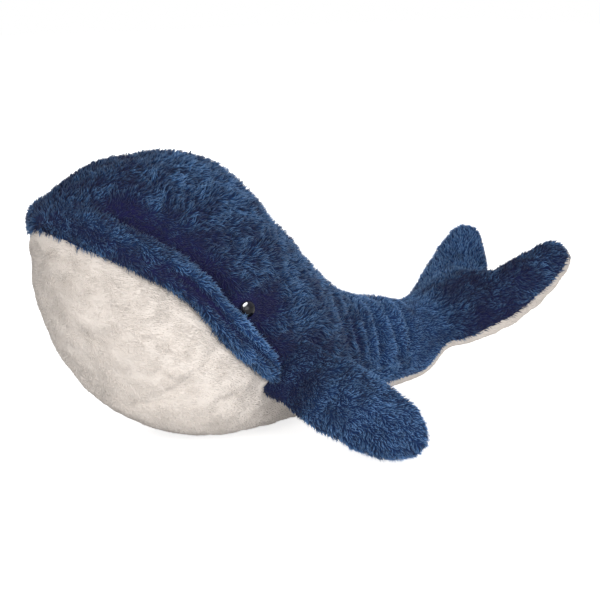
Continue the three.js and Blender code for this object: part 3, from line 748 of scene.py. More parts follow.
# The skins are worked on as points and faces of four corners
def skinArrays(made):
    points = meshArrays(made.data)[0]
    faces = np.array([tuple(p.vertices) for p in made.data.polygons])
    bpy.data.objects.remove(made)
    return points, faces


def normalsOf(points, faces):
    corners = [points[faces[:, corner]] for corner in range(4)]
    across = np.cross(corners[2] - corners[0], corners[3] - corners[1])
    total = np.zeros_like(points)
    for corner in range(4):
        np.add.at(total, faces[:, corner], across)
    return total / np.maximum(np.linalg.norm(total, axis=1, keepdims=True), 1e-9)


# Ways laid along the surface
def flat(ways, normals):
    laid = ways - (ways * normals).sum(1, keepdims=True) * normals
    return laid / np.maximum(np.linalg.norm(laid, axis=1, keepdims=True), 1e-6)


# The places round the head, for the lip that runs from one corner of the mouth to the other
headReach = 340.0    # further out than any point of the head
halvings = 34        # of that reach, to find the outline


def headPoint(angle, height, outward):
    near, far = np.zeros(len(angle)), np.full(len(angle), headReach)
    for _ in range(halvings):
        radius = (near + far) / 2
        within = radius * np.abs(np.sin(angle)) < halfWidthAt(
            trunk["cheekCap"] - radius * np.cos(angle), height, -outward)
        near, far = np.where(within, radius, near), np.where(within, far, radius)
    distance = trunk["cheekCap"] - near * np.cos(angle)
    return distance, np.stack([along(distance), near * np.sin(angle), height], axis=-1)


def seamHeightRound(angle):
    height = np.full(len(angle), trunk["noseHeight"])
    for _ in range(12):
        height = seamHeight(headPoint(angle, height, np.zeros(len(angle)))[0])
    return height


lip = {
    "mouthDistance": 176.3,
    "height": 14.0,        # how far its ridge stands out
    "cloth": 4.0,
    "gap": 0.9,
    "setback": 1.5,        # from the seam under it
    "rootDepth": 7.0,      # how far its hidden side lies inside the head
    "foldShare": 0.52,     # where a fold runs along it, from its lower edge
    "foldWidth": 0.17,     # of its height
    "foldDepth": 9.5,
    "noseDepth": 3.2,      # how far it lies lower in the pile, round the nose
    "along": 190,
    "up": 22,
    "voxel": 2.6,
    "coarseVoxel": 4.0,
    "easing": 0.2,
    "easingRounds": 3,
    "lumpSize": 20.0,
    "lumpDepth": 1.3,
    "dentSize": 9.0,
    "dentDepth": 0.6,
    "foldStart": (0.3, 0.55),     # places between which the fold comes in
    "noseEnd": (0.08, 0.34),      # and the round of the nose ends
    "shownDepth": 3.4,            # how far under the head's outline its pile still stands
    # place from the nose to a corner of the mouth, reach up the head, how proud it stands
    "shares": [
        (0.0, 0.1, 0.05),
        (0.14, 0.1, 0.2),
        (0.32, 0.105, 0.6),
        (0.5, 0.115, 0.95),
        (0.61, 0.125, 1),
        (0.69, 0.13, 1),
        (0.79, 0.12, 1),
        (0.88, 0.1, 0.9),
        (0.95, 0.08, 0.7),
        (1, 0.05, 0.4),
    ],
}
mouthEnd = np.array([lip["mouthDistance"]])
mouthHalf = halfWidthAt(mouthEnd, seamHeight(mouthEnd))[0]
mouthAngle = math.atan2(mouthHalf, trunk["cheekCap"] - lip["mouthDistance"])
seamAngles = np.linspace(0, mouthAngle, 90)
seamHeights = seamHeightRound(seamAngles)


def lipReach(place):
    return readTable(lip["shares"], np.clip(place, 0, 1))[0] * trunk["headHeight"]


def lipLow(angle):
    return np.interp(angle, seamAngles, seamHeights) + lip["setback"]


def foldShare(place):
    return smoothStep(*lip["foldStart"], place)


# How much lower the lip lies round the nose
def noseDrop(place):
    return lip["noseDepth"] * (1 - smoothStep(*lip["noseEnd"], place))


def lipRings():
    steps = lip["up"]
    across = -np.cos(np.linspace(0, 1, steps) * math.pi)
    bow = np.sqrt(np.maximum(0, 1 - across ** 2))
    edge = lip["cloth"] / 3 + (lip["cloth"] * 2 / 3) * bow
    rings = []
    for angle in np.linspace(-1, 1, lip["along"]) * mouthAngle:
        place = abs(angle) / mouthAngle
        reach, proud = readTable(lip["shares"], place)[:, 0]
        height = lipLow(abs(angle)) + reach * trunk["headHeight"] * (1 + across) / 2
        fold = hump((1 + across) / 2 - lip["foldShare"], lip["foldWidth"]) * foldShare(place)
        out = lip["gap"] + proud * (lip["height"] - lip["cloth"]) * bow + edge - skinDepth
        out = out - fold * lip["foldDepth"] - noseDrop(place)
        front = headPoint(np.full(steps, angle), height, out)[1]
        hidden = np.full(steps - 2, -lip["rootDepth"])
        back = headPoint(np.full(steps - 2, angle), height[1:-1], hidden)[1]
        rings.append(np.vstack([front, back[::-1]]))
    return np.array(rings)


def turnFacesOut(made):
    mesh = bmesh.new()
    mesh.from_mesh(made.data)
    bmesh.ops.recalc_face_normals(mesh, faces=mesh.faces)
    mesh.to_mesh(made.data)
    mesh.free()


# The skin of the lip or of a fin: remeshed, eased, lumped and filled out
def stuffedSkin(name, rings, look, seed, holding):
    made = makeObject(name, *ringMesh(rings))
    turnFacesOut(made)
    points, faces = skinArrays(remeshed(made, look["voxel"]))
    points = eased(points, faces, np.full(len(points), look["easing"]), look["easingRounds"])
    points = points + normalsOf(points, faces) * lumpsOf(points, look, seed)[:, None]
    return filledOut(points, faces, look["coarseVoxel"], holding), faces


# A fin is a flat loft that hangs out and down from the side
fin = {
    "pivot": (-5.988, 100.002, 60.679),
    "axis": (0.755124, -0.011565, 0.65548),
    "outward": (0.314793, 0.883434, -0.34706),
    "thickWay": (-0.575059, 0.468413, 0.670743),
    "length": 125.0,
    "chord": 72.0,
    "thickness": 32.0,
    "tipCap": 40.0,
    "rootInside": 24.0,    # how far its root runs on inside the body
    "rootRings": 10,
    "rings": 60,
    "around": 56,
    "voxel": 2.6,
    "coarseVoxel": 4.0,
    "easing": 0.2,
    "easingRounds": 3,
    "lumpSize": 26.0,
    "lumpDepth": 1.4,
    "dentSize": 11.0,
    "dentDepth": 0.6,
    "shownDepth": 22.0,    # how far inside the body its pile still stands
    # place from root to tip, chord, thickness, as shares
    "shares": [
        (0, 0.92, 0.81),
        (0.25, 1, 0.96),
        (0.5, 0.97, 1),
        (0.75, 0.87, 0.92),
        (1, 0.74, 0.8),
    ],
}


# A fin's place and its three ways, on one side
def finFrame(side):
    return [mirrored(fin[key], side) for key in ("pivot", "axis", "outward", "thickWay")]


def finRings(side):
    reach = fin["length"] - skinDepth
    inside = np.linspace(-fin["rootInside"], 0, fin["rootRings"])[:-1]
    outside = reach * np.sin(np.linspace(0, math.pi / 2, fin["rings"]))
    distances = np.concatenate([inside, outside])
    chord, thick = readTable(fin["shares"], np.maximum(distances, 0) / fin["length"])
    tip = capShare(reach - distances, fin["tipCap"] - skinDepth)
    chord = (chord * fin["chord"] / 2 - skinDepth) * tip
    thick = (thick * fin["thickness"] / 2 - skinDepth) * tip
    pivot, axis, outward, thickWay = finFrame(side)
    centre = pivot + distances[:, None] * outward
    return ovalRings(centre, chord, thick, axis, thickWay, fin["around"])


# A bead eye: its middle and its measures in millimetres
eye = {
    "centre": (-61.1, 95.0, 127.3),
    "radius": 7.0,
    "depth": 5.8,         # of its front, from the cloth side of its edge
    "edgeHeight": 1.6,
    "sunk": 2.6,          # how far it is pulled into the body
    "shank": 1.7,
    "shankEnd": -9.5,
    "segments": 48,
}
trunkEnd = 165.0          # x where the flukes are sewn on
seamTurn = (185, 222)     # x between which the seam of the trunk passes into that of the flukes


# How far a point is above the seam between blue and cream
def seamField(points):
    distance = points[:, 0] + trunk["restShare"] * trunk["bodyLength"]
    onTrunk = points[:, 2] - seamHeight(np.clip(distance, 0, trunk["bodyLength"]))
    onFlukes = ((points - flukeCentre(points[:, 1])) * flukeWays(points[:, 1])[1]).sum(axis=1)
    share = smoothStep(*seamTurn, points[:, 0])
    return onTrunk * (1 - share) + onFlukes * share


def fieldSlope(points, field):
    step = 0.5
    ways = np.eye(3) * step
    slopes = [(field(points + way) - field(points - way)) / (2 * step) for way in ways]
    return np.stack(slopes, axis=-1)


def lineDistance(x, z, fold):
    start = np.array(fold[0:2], float)
    run = np.array(fold[2:4], float) - start
    rel = np.stack([x, z], axis=-1) - start
    t = np.clip(rel @ run / (run @ run), 0, 1)
    return np.linalg.norm(rel - t[:, None] * run, axis=1), t


# The creases: over the lip, in a dimple behind each eye, across the tail stock, along each seam and
# round each fin's root, in millimetres. A tone is painted shade: how much darker the pile is coloured there.
creases = {
    "overLip": {"above": 4.0, "widths": (15.0, 8.0), "depth": 7.5, "tone": 0.6, "atNose": 0.1},
    "mouthCorner": (0.96, 1.12),
    "noseEnd": (0.1, 0.36),
    "dimple": {"place": (17.0, -3.0), "widths": (24.0, 12.0), "depth": 4.5, "tone": 0.9},
    # A broad painted shadow over the lip and round each eye
    "shadow": {"above": 12.0, "width": 26.0, "place": (16.0, -4.0), "widths": (40.0, 24.0),
               "tone": 0.14},
    "folds": {"width": 0.75, "depth": 1.9, "tone": 0.16, "farShift": 7.0},
    "backSeam": {"width": 3.2, "depth": 1.2, "tone": 0.12},
    "sideSeam": {"width": 4.0, "depth": 1.3, "tone": 0.05},
    "finRoot": {"radius": 36.0, "width": 12.0, "depth": 2.4, "tone": 0.3},
    "socket": {"from": 21.0, "to": 11.0, "share": 0.9},    # the even ground round a bead
}
folds = [
    # from x, z to x, z on the side of the tail stock, width, depth
    (60, 120, 84, 52, 9, 1.8),
    (84, 104, 100, 44, 7, 2.6),
    (104, 98, 112, 40, 6, 2.0),
    (124, 92, 127, 38, 7, 2.8),
    (143, 88, 152, 42, 6, 2.2),
    (164, 86, 166, 48, 6, 1.8),
]


def roundPatch(dx, dz, patch):
    (px, pz), (wide, high) = patch["place"], patch["widths"]
    return np.exp(-((dx - px) / wide) ** 2 - ((dz - pz) / high) ** 2)


# How deep the creases are and how dark their painted shade is, the top edge of the lip, and the angle round
# the head
def bodyCreases(points):
    c = creases
    x, y, z = points.T
    distance = x + trunk["restShare"] * trunk["bodyLength"]
    angle = np.arctan2(np.abs(y), trunk["cheekCap"] - distance)
    lipTop = lipLow(angle) + lipReach(angle / mouthAngle)
    corner, beyond = c["mouthCorner"]
    mouth = 1 - smoothStep(mouthAngle * corner, mouthAngle * beyond, angle)
    above = z - lipTop - c["overLip"]["above"]
    overLip = hump(above, np.where(above > 0, *c["overLip"]["widths"])) * mouth
    atNose = c["overLip"]["atNose"]
    overLip = overLip * (atNose + (1 - atNose) * smoothStep(*c["noseEnd"], angle / mouthAngle))
    dx, dz = x - eye["centre"][0], z - eye["centre"][2]
    side = smoothStep(30, 60, np.abs(y))
    dimple = roundPatch(dx, dz, c["dimple"]) * side
    depth = c["overLip"]["depth"] * overLip + c["dimple"]["depth"] * dimple
    shadow = hump(above - c["shadow"]["above"], c["shadow"]["width"]) * mouth
    shadow = shadow + roundPatch(dx, dz, c["shadow"]) * side
    # The dark is painted shade, laid in the creases, the dimple, the shadow patches, the folds, the seams
    # and round the fin roots
    dark = c["overLip"]["tone"] * overLip + c["dimple"]["tone"] * dimple
    dark = dark + c["shadow"]["tone"] * np.minimum(1, shadow)
    shifted = x + np.where(y > 0, c["folds"]["farShift"], 0.0)
    for fold in folds:
        away, t = lineDistance(shifted, z, fold)
        ends = np.sin(math.pi * np.clip(t, 0.04, 0.96)) ** 0.5
        line = hump(away, fold[4] * c["folds"]["width"]) * ends
        depth = depth + c["folds"]["depth"] * fold[5] * line
        dark = dark + c["folds"]["tone"] * fold[5] * line
    ridge = hump(y, c["backSeam"]["width"]) * smoothStep(-190, -120, x)
    ridge = ridge * (1 - smoothStep(225, 260, x)) * (z > 60)
    seam = hump(seamField(points), c["sideSeam"]["width"])
    depth = depth + c["backSeam"]["depth"] * ridge + c["sideSeam"]["depth"] * seam
    dark = dark + c["backSeam"]["tone"] * ridge + c["sideSeam"]["tone"] * seam
    roots = [np.linalg.norm(points - finFrame(way)[0], axis=1) for way in (1, -1)]
    ring = hump(np.minimum(*roots) - c["finRoot"]["radius"], c["finRoot"]["width"])
    near = smoothStep(c["socket"]["from"], c["socket"]["to"], np.hypot(dx, dz))
    depth = (depth + c["finRoot"]["depth"] * ring) * (1 - c["socket"]["share"] * near * side)
    return depth, dark + c["finRoot"]["tone"] * ring, lipTop, angle


# The body's skin is held at its seams, in its creases, round the eyes and where it lies
def bodyHeld(p):
    deep = np.clip(bodyCreases(p)[0] / 3, 0, 1)
    beads = np.hypot(p[:, 0] - eye["centre"][0], p[:, 2] - eye["centre"][2])
    beads = beads + 20 * (np.abs(p[:, 1]) < 50)
    held = hump(seamField(p), 5.0) + deep + smoothStep(9, 3, p[:, 2]) + smoothStep(22, 12, beads)
    return held + 0.8 * smoothStep(160, 190, p[:, 0]) * (1 - smoothStep(240, 262, p[:, 0]))


# How far round the head a point of the lip is, how far up it, how deep in its fold, and how far out
def lipPlaces(p):
    behind = p[:, 0] + trunk["restShare"] * trunk["bodyLength"]
    roundShare = np.arctan2(np.abs(p[:, 1]), trunk["cheekCap"] - behind) / mouthAngle
    seam = np.interp(roundShare * mouthAngle, seamAngles, seamHeights)
    upShare = (p[:, 2] - seam - lip["setback"]) / lipReach(roundShare)
    groove = hump(upShare - lip["foldShare"], lip["foldWidth"] * 1.2) * foldShare(roundShare)
    return roundShare, upShare, groove, np.abs(p[:, 1]) - halfWidthAt(behind, p[:, 2])


def lipHeld(p):
    groove, proud = lipPlaces(p)[2:]
    return groove + smoothStep(0, -4, proud)


# One side of a line drawn over a skin, with the corners on it brought onto the line
mostStep = 2.2    # how far a corner is moved for it


def partedBy(points, faces, field, among=None):
    values = field(points)
    above = values[faces].mean(1) > 0
    inside = np.ones(len(faces), bool) if among is None else among
    touch = np.zeros((len(points), 2), bool)
    touch[faces[inside & above].ravel(), 0] = True
    touch[faces[inside & ~above].ravel(), 1] = True
    rim = touch.all(1)
    slope = fieldSlope(points[rim], field)
    step = values[rim, None] * slope / np.maximum((slope ** 2).sum(1, keepdims=True), 1e-6)
    size = np.linalg.norm(step, axis=1, keepdims=True)
    points[rim] -= step * np.minimum(1, mostStep / np.maximum(size, 1e-6))
    return above


# A sheet of cloth with two faces and closed edges, from its outer face
def clothPiece(name, skin, chosen, traits, furred):
    points, normals, faces = skin
    faces = faces[chosen]
    used = np.unique(faces)
    lookup = np.full(len(points), -1)
    lookup[used] = np.arange(len(used))
    outer = lookup[faces]
    count = len(used)
    starts, ends = outer.ravel(), np.roll(outer, -1, axis=1).ravel()
    runs = set(zip(starts.tolist(), ends.tolist()))
    rim = [(a, b) for a, b in runs if (b, a) not in runs]
    sides = sorted((b, a, a + count, b + count) for a, b in rim)
    places = np.vstack([points[used], points[used] - normals[used] * clothThick])
    piece = makeObject(name, places, outer.tolist() + (outer[:, ::-1] + count).tolist() + sides)
    giveTraits(piece, {key: np.concatenate([value[used]] * 2) for key, value in traits.items()},
               np.concatenate([furred[chosen], np.zeros(len(outer) + len(sides), bool)]))
    return piece


def giveTraits(piece, traits, furred):
    attributes = piece.data.attributes
    for key, values in traits.items():
        vector = values.ndim == 2
        attribute = attributes.new(key, "FLOAT_VECTOR" if vector else "FLOAT", "POINT")
        flatValues = values.astype(np.float32).ravel()
        attribute.data.foreach_set("vector" if vector else "value", flatValues)
    attributes.new("furred", "BOOLEAN", "FACE").data.foreach_set("value", furred)
    piece.data.polygons.foreach_set("use_smooth", np.ones(len(piece.data.polygons), bool))


# How each cloth's pile is set: sizes in millimetres, angles in radians. Real plush has a fibre at
# every tenth of a millimetre or so, too fine to show here, so a tuft stands for about a hundred.
backPile = {
    "Spacing": 1.15,
    "Length": 7.6,
    "Width": 0.42,
    "Lean": 0.92,
    "Bend": 0.5,
    "Curl": 2.2,
    "Shake": 0.38,
    "Clump Size": 6.5,
    "Clump Pull": 0.8,
    "Swirl": 6.0,
    "Swirl Size": 18.0,
    "Patches": 1.35,
    "Clump Tone": 0.34,
    "Seed": 3,
}
bellyPile = {
    **backPile,
    "Length": 3.6,
    "Width": 0.7,
    "Lean": 1.12,
    "Curl": 0.8,
    "Shake": 0.08,
    "Clump Size": 14.0,
    "Clump Pull": 0.05,
    "Swirl": 1.2,
    "Patches": 0.2,
    "Clump Tone": 0.015,
    "Seed": 8,
}
lipPile = {**backPile, "Length": 5.8, "Clump Size": 5.0, "Seed": 12}
finPile = {
    **backPile,
    "Length": 5.2,
    "Shake": 0.26,
    "Clump Size": 6.0,
    "Clump Pull": 0.5,
    "Swirl": 3.6,
    "Seed": 17,
}


def dressed(name, skin, chosen, traits, furred, look, cloth):
    piece = clothPiece(name, skin, chosen, traits, furred)
    growPile(piece, look, cloth)
    print(name, len(piece.data.polygons), "faces")
    return piece


# The body, from nose to flukes
points, faces = skinArrays(bodySkin())
nearJoin = smoothStep(165, 195, points[:, 0]) * (1 - smoothStep(255, 285, points[:, 0]))
points = eased(points, faces, body["easing"] + body["joinEasing"] * nearJoin, body["easingRounds"])
normals = normalsOf(points, faces)
# dark is the painted shade of the creases
depth, dark, lipTop, angle = bodyCreases(points)
lumps = lumpsOf(points, body, 1)
resting = 1 - smoothStep(4, 12, points[:, 2]) * np.where(normals[:, 2] > -0.6, 1, 0.9)
points = points + normals * ((lumps - depth) * (1 - 0.8 * resting))[:, None]
points = filledOut(points, faces, body["coarseVoxel"], bodyHeld)
normals = normalsOf(points, faces)
blueSide = partedBy(points, faces, seamField)
leftSide = partedBy(points, faces, lambda p: -p[:, 1], blueSide)
front = partedBy(points, faces, lambda p: trunkEnd - p[:, 0])
normals = normalsOf(points, faces)
bodySurface = (points, normals, faces)
print("body skin", len(points))

# How its pile lies: combed back and down, shorter on the tail stock, by the eyes and on the ground
x, y, z = points.T
onFluke = smoothStep(205, 250, x)
onStock = smoothStep(70, 120, x) * (1 - smoothStep(190, 230, x))
flukeSpread = np.sign(y) * np.minimum(1, np.abs(y) / 30) * 0.75 * onFluke
combs = np.stack([1 - 0.35 * onFluke, flukeSpread, -0.14 + 0.3 * onFluke], axis=-1)
eyeX, eyeY, eyeZ = eye["centre"]
eyeAway = np.sqrt((x - eyeX) ** 2 + (z - eyeZ) ** 2 + (np.abs(y) - eyeY) ** 2)
pileLength = (0.42 + 0.58 * smoothStep(8, 20, eyeAway)) * (1 - 0.34 * onStock)
pileLength = pileLength * (1 - 0.5 * smoothStep(6, 1, z)) * (1 - 0.45 * np.minimum(1, dark / 0.4))

# How light it is: clouded at random, less the painted shade of the creases, with painted light on the tail
# stock and on the far fluke, and painted shade on the near one
backToneAndPaintedLight = {
    "plain": 0.48,
    "clouds": 0.3,
    "cloudSize": 46.0,
    "stock": 0.34,
    "nearFlukePaintedShade": -0.22,
    "acrossFlukesPaintedLight": 0.56,
}
# The cream: painted shade, darker higher up under the lip and further back by the fins
bellyPaintedShade = {"plain": 0.56, "up": 0.1, "behind": 0.08}
tone = backToneAndPaintedLight["plain"] - dark + backToneAndPaintedLight["clouds"] * noiseAt(points, backToneAndPaintedLight["cloudSize"], 5)
# Painted light on the tail stock, and across the flukes painted light on the far one and painted shade on
# the near one
tone = tone + backToneAndPaintedLight["stock"] * onStock
flukePaintedLight = backToneAndPaintedLight["nearFlukePaintedShade"] + backToneAndPaintedLight["acrossFlukesPaintedLight"] * smoothStep(-14, 14, y)
tone = tone + onFluke * flukePaintedLight
# Painted shade, darker higher up and further back
bellyTone = bellyPaintedShade["plain"] - bellyPaintedShade["up"] * smoothStep(30, 190, z)
bellyTone = bellyTone - bellyPaintedShade["behind"] * smoothStep(-110, -20, x)
traits = {"comb": flat(combs, normals), "pile": pileLength, "tone": tone}
bellyTraits = {**traits, "tone": bellyTone}

# No pile stands under the lip or under the beads
covered = (angle > mouthAngle * 0.38) & (angle < mouthAngle * 0.97)
lipBottom = lipTop - lipReach(angle / mouthAngle)
underLip = covered & (z > lipBottom + 3) & (z < lipTop - 3)
clearOfBeads = eyeAway[faces].min(axis=1) > eye["radius"] * body["eyeBare"]
furred = ~underLip[faces].all(axis=1) & clearOfBeads

bodyPieces = {}
for name, chosen, itsTraits, look, cloth in (
        ("backPlushLeft", blueSide & leftSide & front, traits, backPile, bluePlush),
        ("backPlushRight", blueSide & ~leftSide & front, traits, backPile, bluePlush),
        ("bellyPlush", ~blueSide & front, bellyTraits, bellyPile, creamPlush),
        ("flukeUpperPlush", blueSide & ~front, traits, finPile, bluePlush),
        ("flukeLowerPlush", ~blueSide & ~front, bellyTraits, bellyPile, creamPlush)):
    bodyPieces[name] = dressed(name, bodySurface, chosen, itsTraits, furred, look, cloth)

# The padded lip: painted shade darker in its fold, a painted highlight on the ridge over it, painted light
# towards the cheek, and clouds at random
lipToneAndPaintedLight = {
    "plain": 0.3,
    "fold": 0.6,
    "ridge": 0.3,
    "ridgePlace": 0.82,
    "ridgeWidth": 0.17,
    "clouds": 0.2,
    "cloudSize": 26.0,
    "cheek": 0.55,
}
points, faces = stuffedSkin("lipSkin", lipRings(), lip, 7, lipHeld)
normals = normalsOf(points, faces)
roundShare, upShare, groove, proud = lipPlaces(points)
# The ridge's painted highlight
ridge = hump(upShare - lipToneAndPaintedLight["ridgePlace"], lipToneAndPaintedLight["ridgeWidth"])
lipTone = lipToneAndPaintedLight["plain"] - lipToneAndPaintedLight["fold"] * groove + lipToneAndPaintedLight["ridge"] * ridge
lipTone = lipTone + lipToneAndPaintedLight["clouds"] * noiseAt(points, lipToneAndPaintedLight["cloudSize"], 9)
# Painted light towards the cheek
lipTone = lipTone + lipToneAndPaintedLight["cheek"] * smoothStep(0.45, 0.8, roundShare)
lipLength = (0.7 + 0.3 * smoothStep(0.1, 0.5, roundShare)) * (1 - 0.7 * groove)
combs = np.tile([0.85, 0.0, -0.5], (len(points), 1))
traits = {"comb": flat(combs, normals), "pile": lipLength, "tone": lipTone}
shows = (proud + noseDrop(roundShare))[faces].mean(1) > -lip["shownDepth"]
whole = np.ones(len(faces), bool)
lipPiece = dressed("lipPlush", (points, normals, faces), whole, traits, shows, lipPile, bluePlush)

# The fins: painted shade darker towards the root, where they meet the body, and clouds at random
finToneAndPaintedShade = {"plain": 0.72, "root": 0.4, "clouds": 0.22, "cloudSize": 34.0}
fins = []
for side, word in ((-1, "Left"), (1, "Right")):
    pivot, axis, outward, thickWay = finFrame(side)

    def finAbove(p):
        return (p - pivot) @ thickWay

    def finHeld(p):
        return smoothStep(16, 0, (p - pivot) @ outward) + hump(finAbove(p), 2.5)

    points, faces = stuffedSkin("finSkin", finRings(side), fin, 11, finHeld)
    upper = partedBy(points, faces, finAbove)
    normals = normalsOf(points, faces)
    out = (points - pivot) @ outward
    combs = outward + 0.22 * axis * np.sign((points - pivot) @ axis)[:, None]
    # Painted shade at the root
    finTone = finToneAndPaintedShade["plain"] - finToneAndPaintedShade["root"] * (1 - smoothStep(0, 34, out))
    finTone = finTone + finToneAndPaintedShade["clouds"] * noiseAt(points, finToneAndPaintedShade["cloudSize"], 13)
    finLength = 0.75 + 0.25 * smoothStep(-5, 15, out)
    traits = {"comb": flat(combs, normals), "pile": finLength, "tone": finTone}
    shows = out[faces].mean(1) > -fin["shownDepth"]
    skin = (points, normals, faces)
    for top, panel in ((True, "Upper"), (False, "Lower")):
        name = "fin" + word + panel + "Plush"
        piece = dressed(name, skin, upper == top, traits, shows, finPile, bluePlush)
        fins.append((piece, word.lower(), panel.lower(), pivot, outward))


# Black cast acrylic, tumbled to a high gloss: it mirrors the light, with faint marks from handling,
# about 2.4 mm across
beadLook = {
    "marks": 420.0,
    "detail": 3.0,
    "roughness": (0.04, 0.12),
    "colours": ("#020203", "#030305"),
    "shader": {"IOR": 1.49, "Specular IOR Level": 0.18},
}
# Natural polypropylene, moulded: milky, waxy and slightly uneven in its gloss, over about 4 mm
washerLook = {
    "marks": 260.0,
    "detail": 4.0,
    "roughness": (0.38, 0.55),
    "colours": ("#e4e2da", "#f0eee8"),
    "shader": {"IOR": 1.49, "Subsurface Weight": 0.1},
}


def plasticMaterial(name, look):
    material = bpy.data.materials.new(name)
    tree = emptyTree(material)
    where = addNode(tree, "ShaderNodeTexCoord").outputs["Object"]
    cloud = addNode(tree, "ShaderNodeTexNoise", inputs={
        "Vector": where, "Scale": look["marks"], "Detail": look["detail"]}).outputs[0]
    smoothest, roughest = look["roughness"]
    rough = addNode(tree, "ShaderNodeMapRange", inputs={
        "Value": cloud, "To Min": smoothest, "To Max": roughest})
    first, second = [linear(colour) for colour in look["colours"]]
    tint = addNode(tree, "ShaderNodeMix", {"data_type": "RGBA"}, {0: cloud, 6: first, 7: second})
    shader = addNode(tree, "ShaderNodeBsdfPrincipled", inputs={
        "Base Color": tint.outputs[2], "Roughness": rough.outputs[0], **look["shader"]})
    addNode(tree, "ShaderNodeOutputMaterial", inputs={"Surface": shader.outputs[0]})
    return material


beadAcrylic = plasticMaterial("beadAcrylic", beadLook)
naturalPolypropylene = plasticMaterial("naturalPolypropylene", washerLook)


# A bead is turned: a domed front, a rounded edge, a flat back and its shank
def beadProfile():
    radius, depth, low = eye["radius"], eye["depth"], eye["edgeHeight"]
    shank, end = eye["shank"], eye["shankEnd"]
    turns = np.linspace(0, math.pi / 2, 16)[1:]
    dome = [(radius * math.sin(a), low + (depth - low) * math.cos(a)) for a in turns]
    edge = [(radius - 0.1, 1.1), (radius - 0.5, 0.6), (radius - 1.2, 0.3)]
    stem = [(shank + 0.5, 0.3), (shank, -0.2), (shank, end + 0.4), (shank - 0.4, end)]
    return np.array(dome + edge + stem)


def beadPiece(name, side):
    profile = beadProfile()
    centre = mirrored(eye["centre"], side)
    distance = np.array([centre[0] + trunk["restShare"] * trunk["bodyLength"]])
    height = np.array([centre[2]])

    def half(back, up):
        return halfWidthAt(distance + back, height + up)[0]

    out = np.array([-(half(2, 0) - half(-2, 0)) / 4, side, -(half(0, 2) - half(0, -2)) / 4])
    out /= np.linalg.norm(out)
    seat = np.array([centre[0], side * half(0, 0), centre[2]]) - out * eye["sunk"]
    sideways = np.cross(out, [0, 0, 1.0])
    sideways /= np.linalg.norm(sideways)
    upward = np.cross(sideways, out)
    turns = turnsOf(eye["segments"])
    wheel = np.cos(turns)[:, None] * sideways + np.sin(turns)[:, None] * upward
    rings = seat + profile[:, 1][:, None, None] * out + profile[:, 0][:, None, None] * wheel
    points, beadFaces = ringMesh(rings)
    frontTip = len(profile) * len(turns)
    points[frontTip] = seat + out * eye["depth"]
    made = makeObject(name, points, beadFaces)
    turnFacesOut(made)
    made.data.polygons.foreach_set("use_smooth", np.ones(len(made.data.polygons), bool))
    made.data.materials.append(beadAcrylic)
    return made


beads = [beadPiece("eyeBeadLeft", -1), beadPiece("eyeBeadRight", 1)]
for word in ("left", "right"):
    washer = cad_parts["eye_washer_" + word]
    for slot in washer.material_slots:
        slot.material = naturalPolypropylene
print("eyes")


# From millimetres to metres
def place(vector):
    return tuple(float(v) * mm for v in vector)


# Each piece goes with its body, and stands for its CAD parts
tailBend = {"start": place((105, 0, 55)), "end": place((155, 0, 55))}
flukeBend = {"start": place((172, 0, 60)), "end": place((226, 0, 60))}
for name, slot, nodes in (
        ("backPlushLeft", "blue_plush", ["back_panel_left", "tail_panel_left", "body_filling"]),
        ("backPlushRight", "blue_plush", ["back_panel_right", "tail_panel_right", "tail_filling"]),
        ("bellyPlush", "cream_plush", ["belly_panel", "tail_belly_panel"])):
    piece = bodyPieces[name]
    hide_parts(*nodes)
    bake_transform(piece, "torso", "tail_stock", **tailBend)
for name, slot, nodes in (
        ("flukeUpperPlush", "blue_plush", ["fluke_upper_panel"]),
        ("flukeLowerPlush", "cream_plush", ["fluke_lower_panel", "fluke_filling"])):
    piece = bodyPieces[name]
    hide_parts(*nodes)
    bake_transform(piece, "tail_stock", "flukes", **flukeBend)
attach(lipPiece, "torso")
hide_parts("lip_panel", "lip_filling")
for piece, word, panel, pivot, outward in fins:
    nodes = ["fin_" + word + "_" + panel + "_panel"]
    if panel == "lower":
        nodes.append("fin_" + word + "_filling")
    start, end = place(pivot - outward * 6), place(pivot + outward * 22)
    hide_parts(*nodes)
    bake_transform(piece, "torso", "fin_" + word, start=start, end=end)
for bead, word in zip(beads, ("left", "right")):
    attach(bead, "torso")
    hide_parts("eye_" + word)
print("placed")

# The photographer's corner: a white floor that runs out of sight, and broad soft lights round about
studio = {
    # size and power of each lamp, its place and what it points at, in metres and watts
    "lamps": {
        "keyLight": (1.0, 8.5, (-1.5, -1.1, 0.5), (0, 0, 0.1)),
        "fillLight": (1.6, 31.0, (-0.2, -1.9, 0.26), (0.05, 0, 0.08)),
        "backLight": (1.6, 20.0, (1.3, 1.5, 0.7), (0.05, 0, 0.08)),
    },
    "windowSize": 1.7,
    "windowPower": 430.0,
    "windowPlace": (-380, 290, 1110),    # from a bead, in millimetres
    "surround": 0.58,       # of the world's light on the object
    "paper": "#f4f4f4",
    "paperGlow": 0.72,
    "paperReach": 6000,
    "lens": 102.0,
    "sensor": 36.0,
    "cameraPlace": (-862.5, -1206.5, 422.0),
    "cameraAim": (32.7, -42.5, 114.5),
}


def pointedAt(made, where, aim):
    made.location = where
    made.rotation_euler = (Vector(aim) - Vector(where)).to_track_quat("-Z", "Y").to_euler()
    bpy.context.scene.collection.objects.link(made)
    return made


def areaLight(name, size, power, where, aim):
    lamp = bpy.data.lights.new(name, "AREA")
    lamp.shape, lamp.size, lamp.energy = "DISK", size, power
    return pointedAt(bpy.data.objects.new(name, lamp), where, aim)


for name, settings in studio["lamps"].items():
    areaLight(name, *settings)

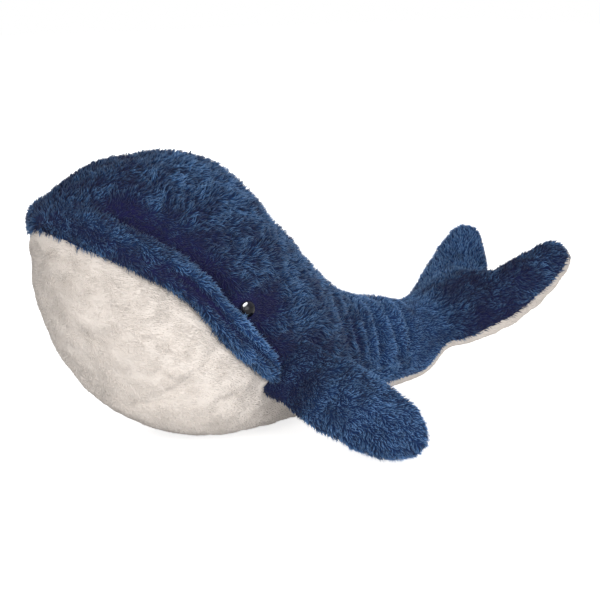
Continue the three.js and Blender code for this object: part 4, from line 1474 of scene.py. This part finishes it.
# The window that each bead mirrors: it lights the beads alone
shining = bpy.data.collections.new("shining")
for bead in beads:
    shining.objects.link(bead)
for side in (-1, 1):
    aim = mirrored(eye["centre"], side)
    where = aim + mirrored(studio["windowPlace"], side)
    window = areaLight("catchLight", studio["windowSize"], studio["windowPower"],
                       place(where), place(aim))
    window.light_linking.receiver_collection = shining
    window.light_linking.blocker_collection = shining


# The rays that see a plain white background: the camera's own, and those off metal and glass
def backgroundRays(tree):
    paths = addNode(tree, "ShaderNodeLightPath").outputs
    either = {"operation": "MAXIMUM"}
    clear = addNode(tree, "ShaderNodeMath", either, {
        0: paths["Is Glossy Ray"], 1: paths["Is Transmission Ray"]})
    return addNode(tree, "ShaderNodeMath", either, {0: paths["Is Camera Ray"], 1: clear})


world = bpy.data.worlds.new("studioWorld")
bpy.context.scene.world = world
tree = emptyTree(world)
level = addNode(tree, "ShaderNodeMapRange", inputs={
    "Value": backgroundRays(tree), "To Min": studio["surround"], "To Max": 1.0})
sky = addNode(tree, "ShaderNodeBackground", inputs={"Color": linear("#ffffff"), "Strength": level})
addNode(tree, "ShaderNodeOutputWorld", inputs={"Surface": sky.outputs[0]})

# Matt white seamless paper: bright enough in the picture to leave only the shadow showing
paper = bpy.data.materials.new("seamlessPaper")
tree = emptyTree(paper)
white = addNode(tree, "ShaderNodeBsdfDiffuse", inputs={"Color": linear(studio["paper"])})
glow = addNode(tree, "ShaderNodeEmission", inputs={
    "Color": linear("#ffffff"), "Strength": studio["paperGlow"]})
both = addNode(tree, "ShaderNodeAddShader", inputs={0: white.outputs[0], 1: glow.outputs[0]})
choice = addNode(tree, "ShaderNodeMixShader", inputs={0: backgroundRays(tree), 1: white, 2: both})
addNode(tree, "ShaderNodeOutputMaterial", inputs={"Surface": choice})
far = studio["paperReach"]
corners = [(-far, -far, 0), (far, -far, 0), (far, far, 0), (-far, far, 0)]
floor = makeObject("floor", corners, [(0, 1, 2, 3)])
floor.data.materials.append(paper)

camera = bpy.data.objects.new("camera", bpy.data.cameras.new("camera"))
camera.data.lens = studio["lens"]
camera.data.sensor_width = studio["sensor"]
camera.data.clip_end = 30.0
pointedAt(camera, place(studio["cameraPlace"]), place(studio["cameraAim"]))
bpy.context.scene.camera = camera
bpy.context.scene.view_settings.view_transform = "Standard"
print("studio")
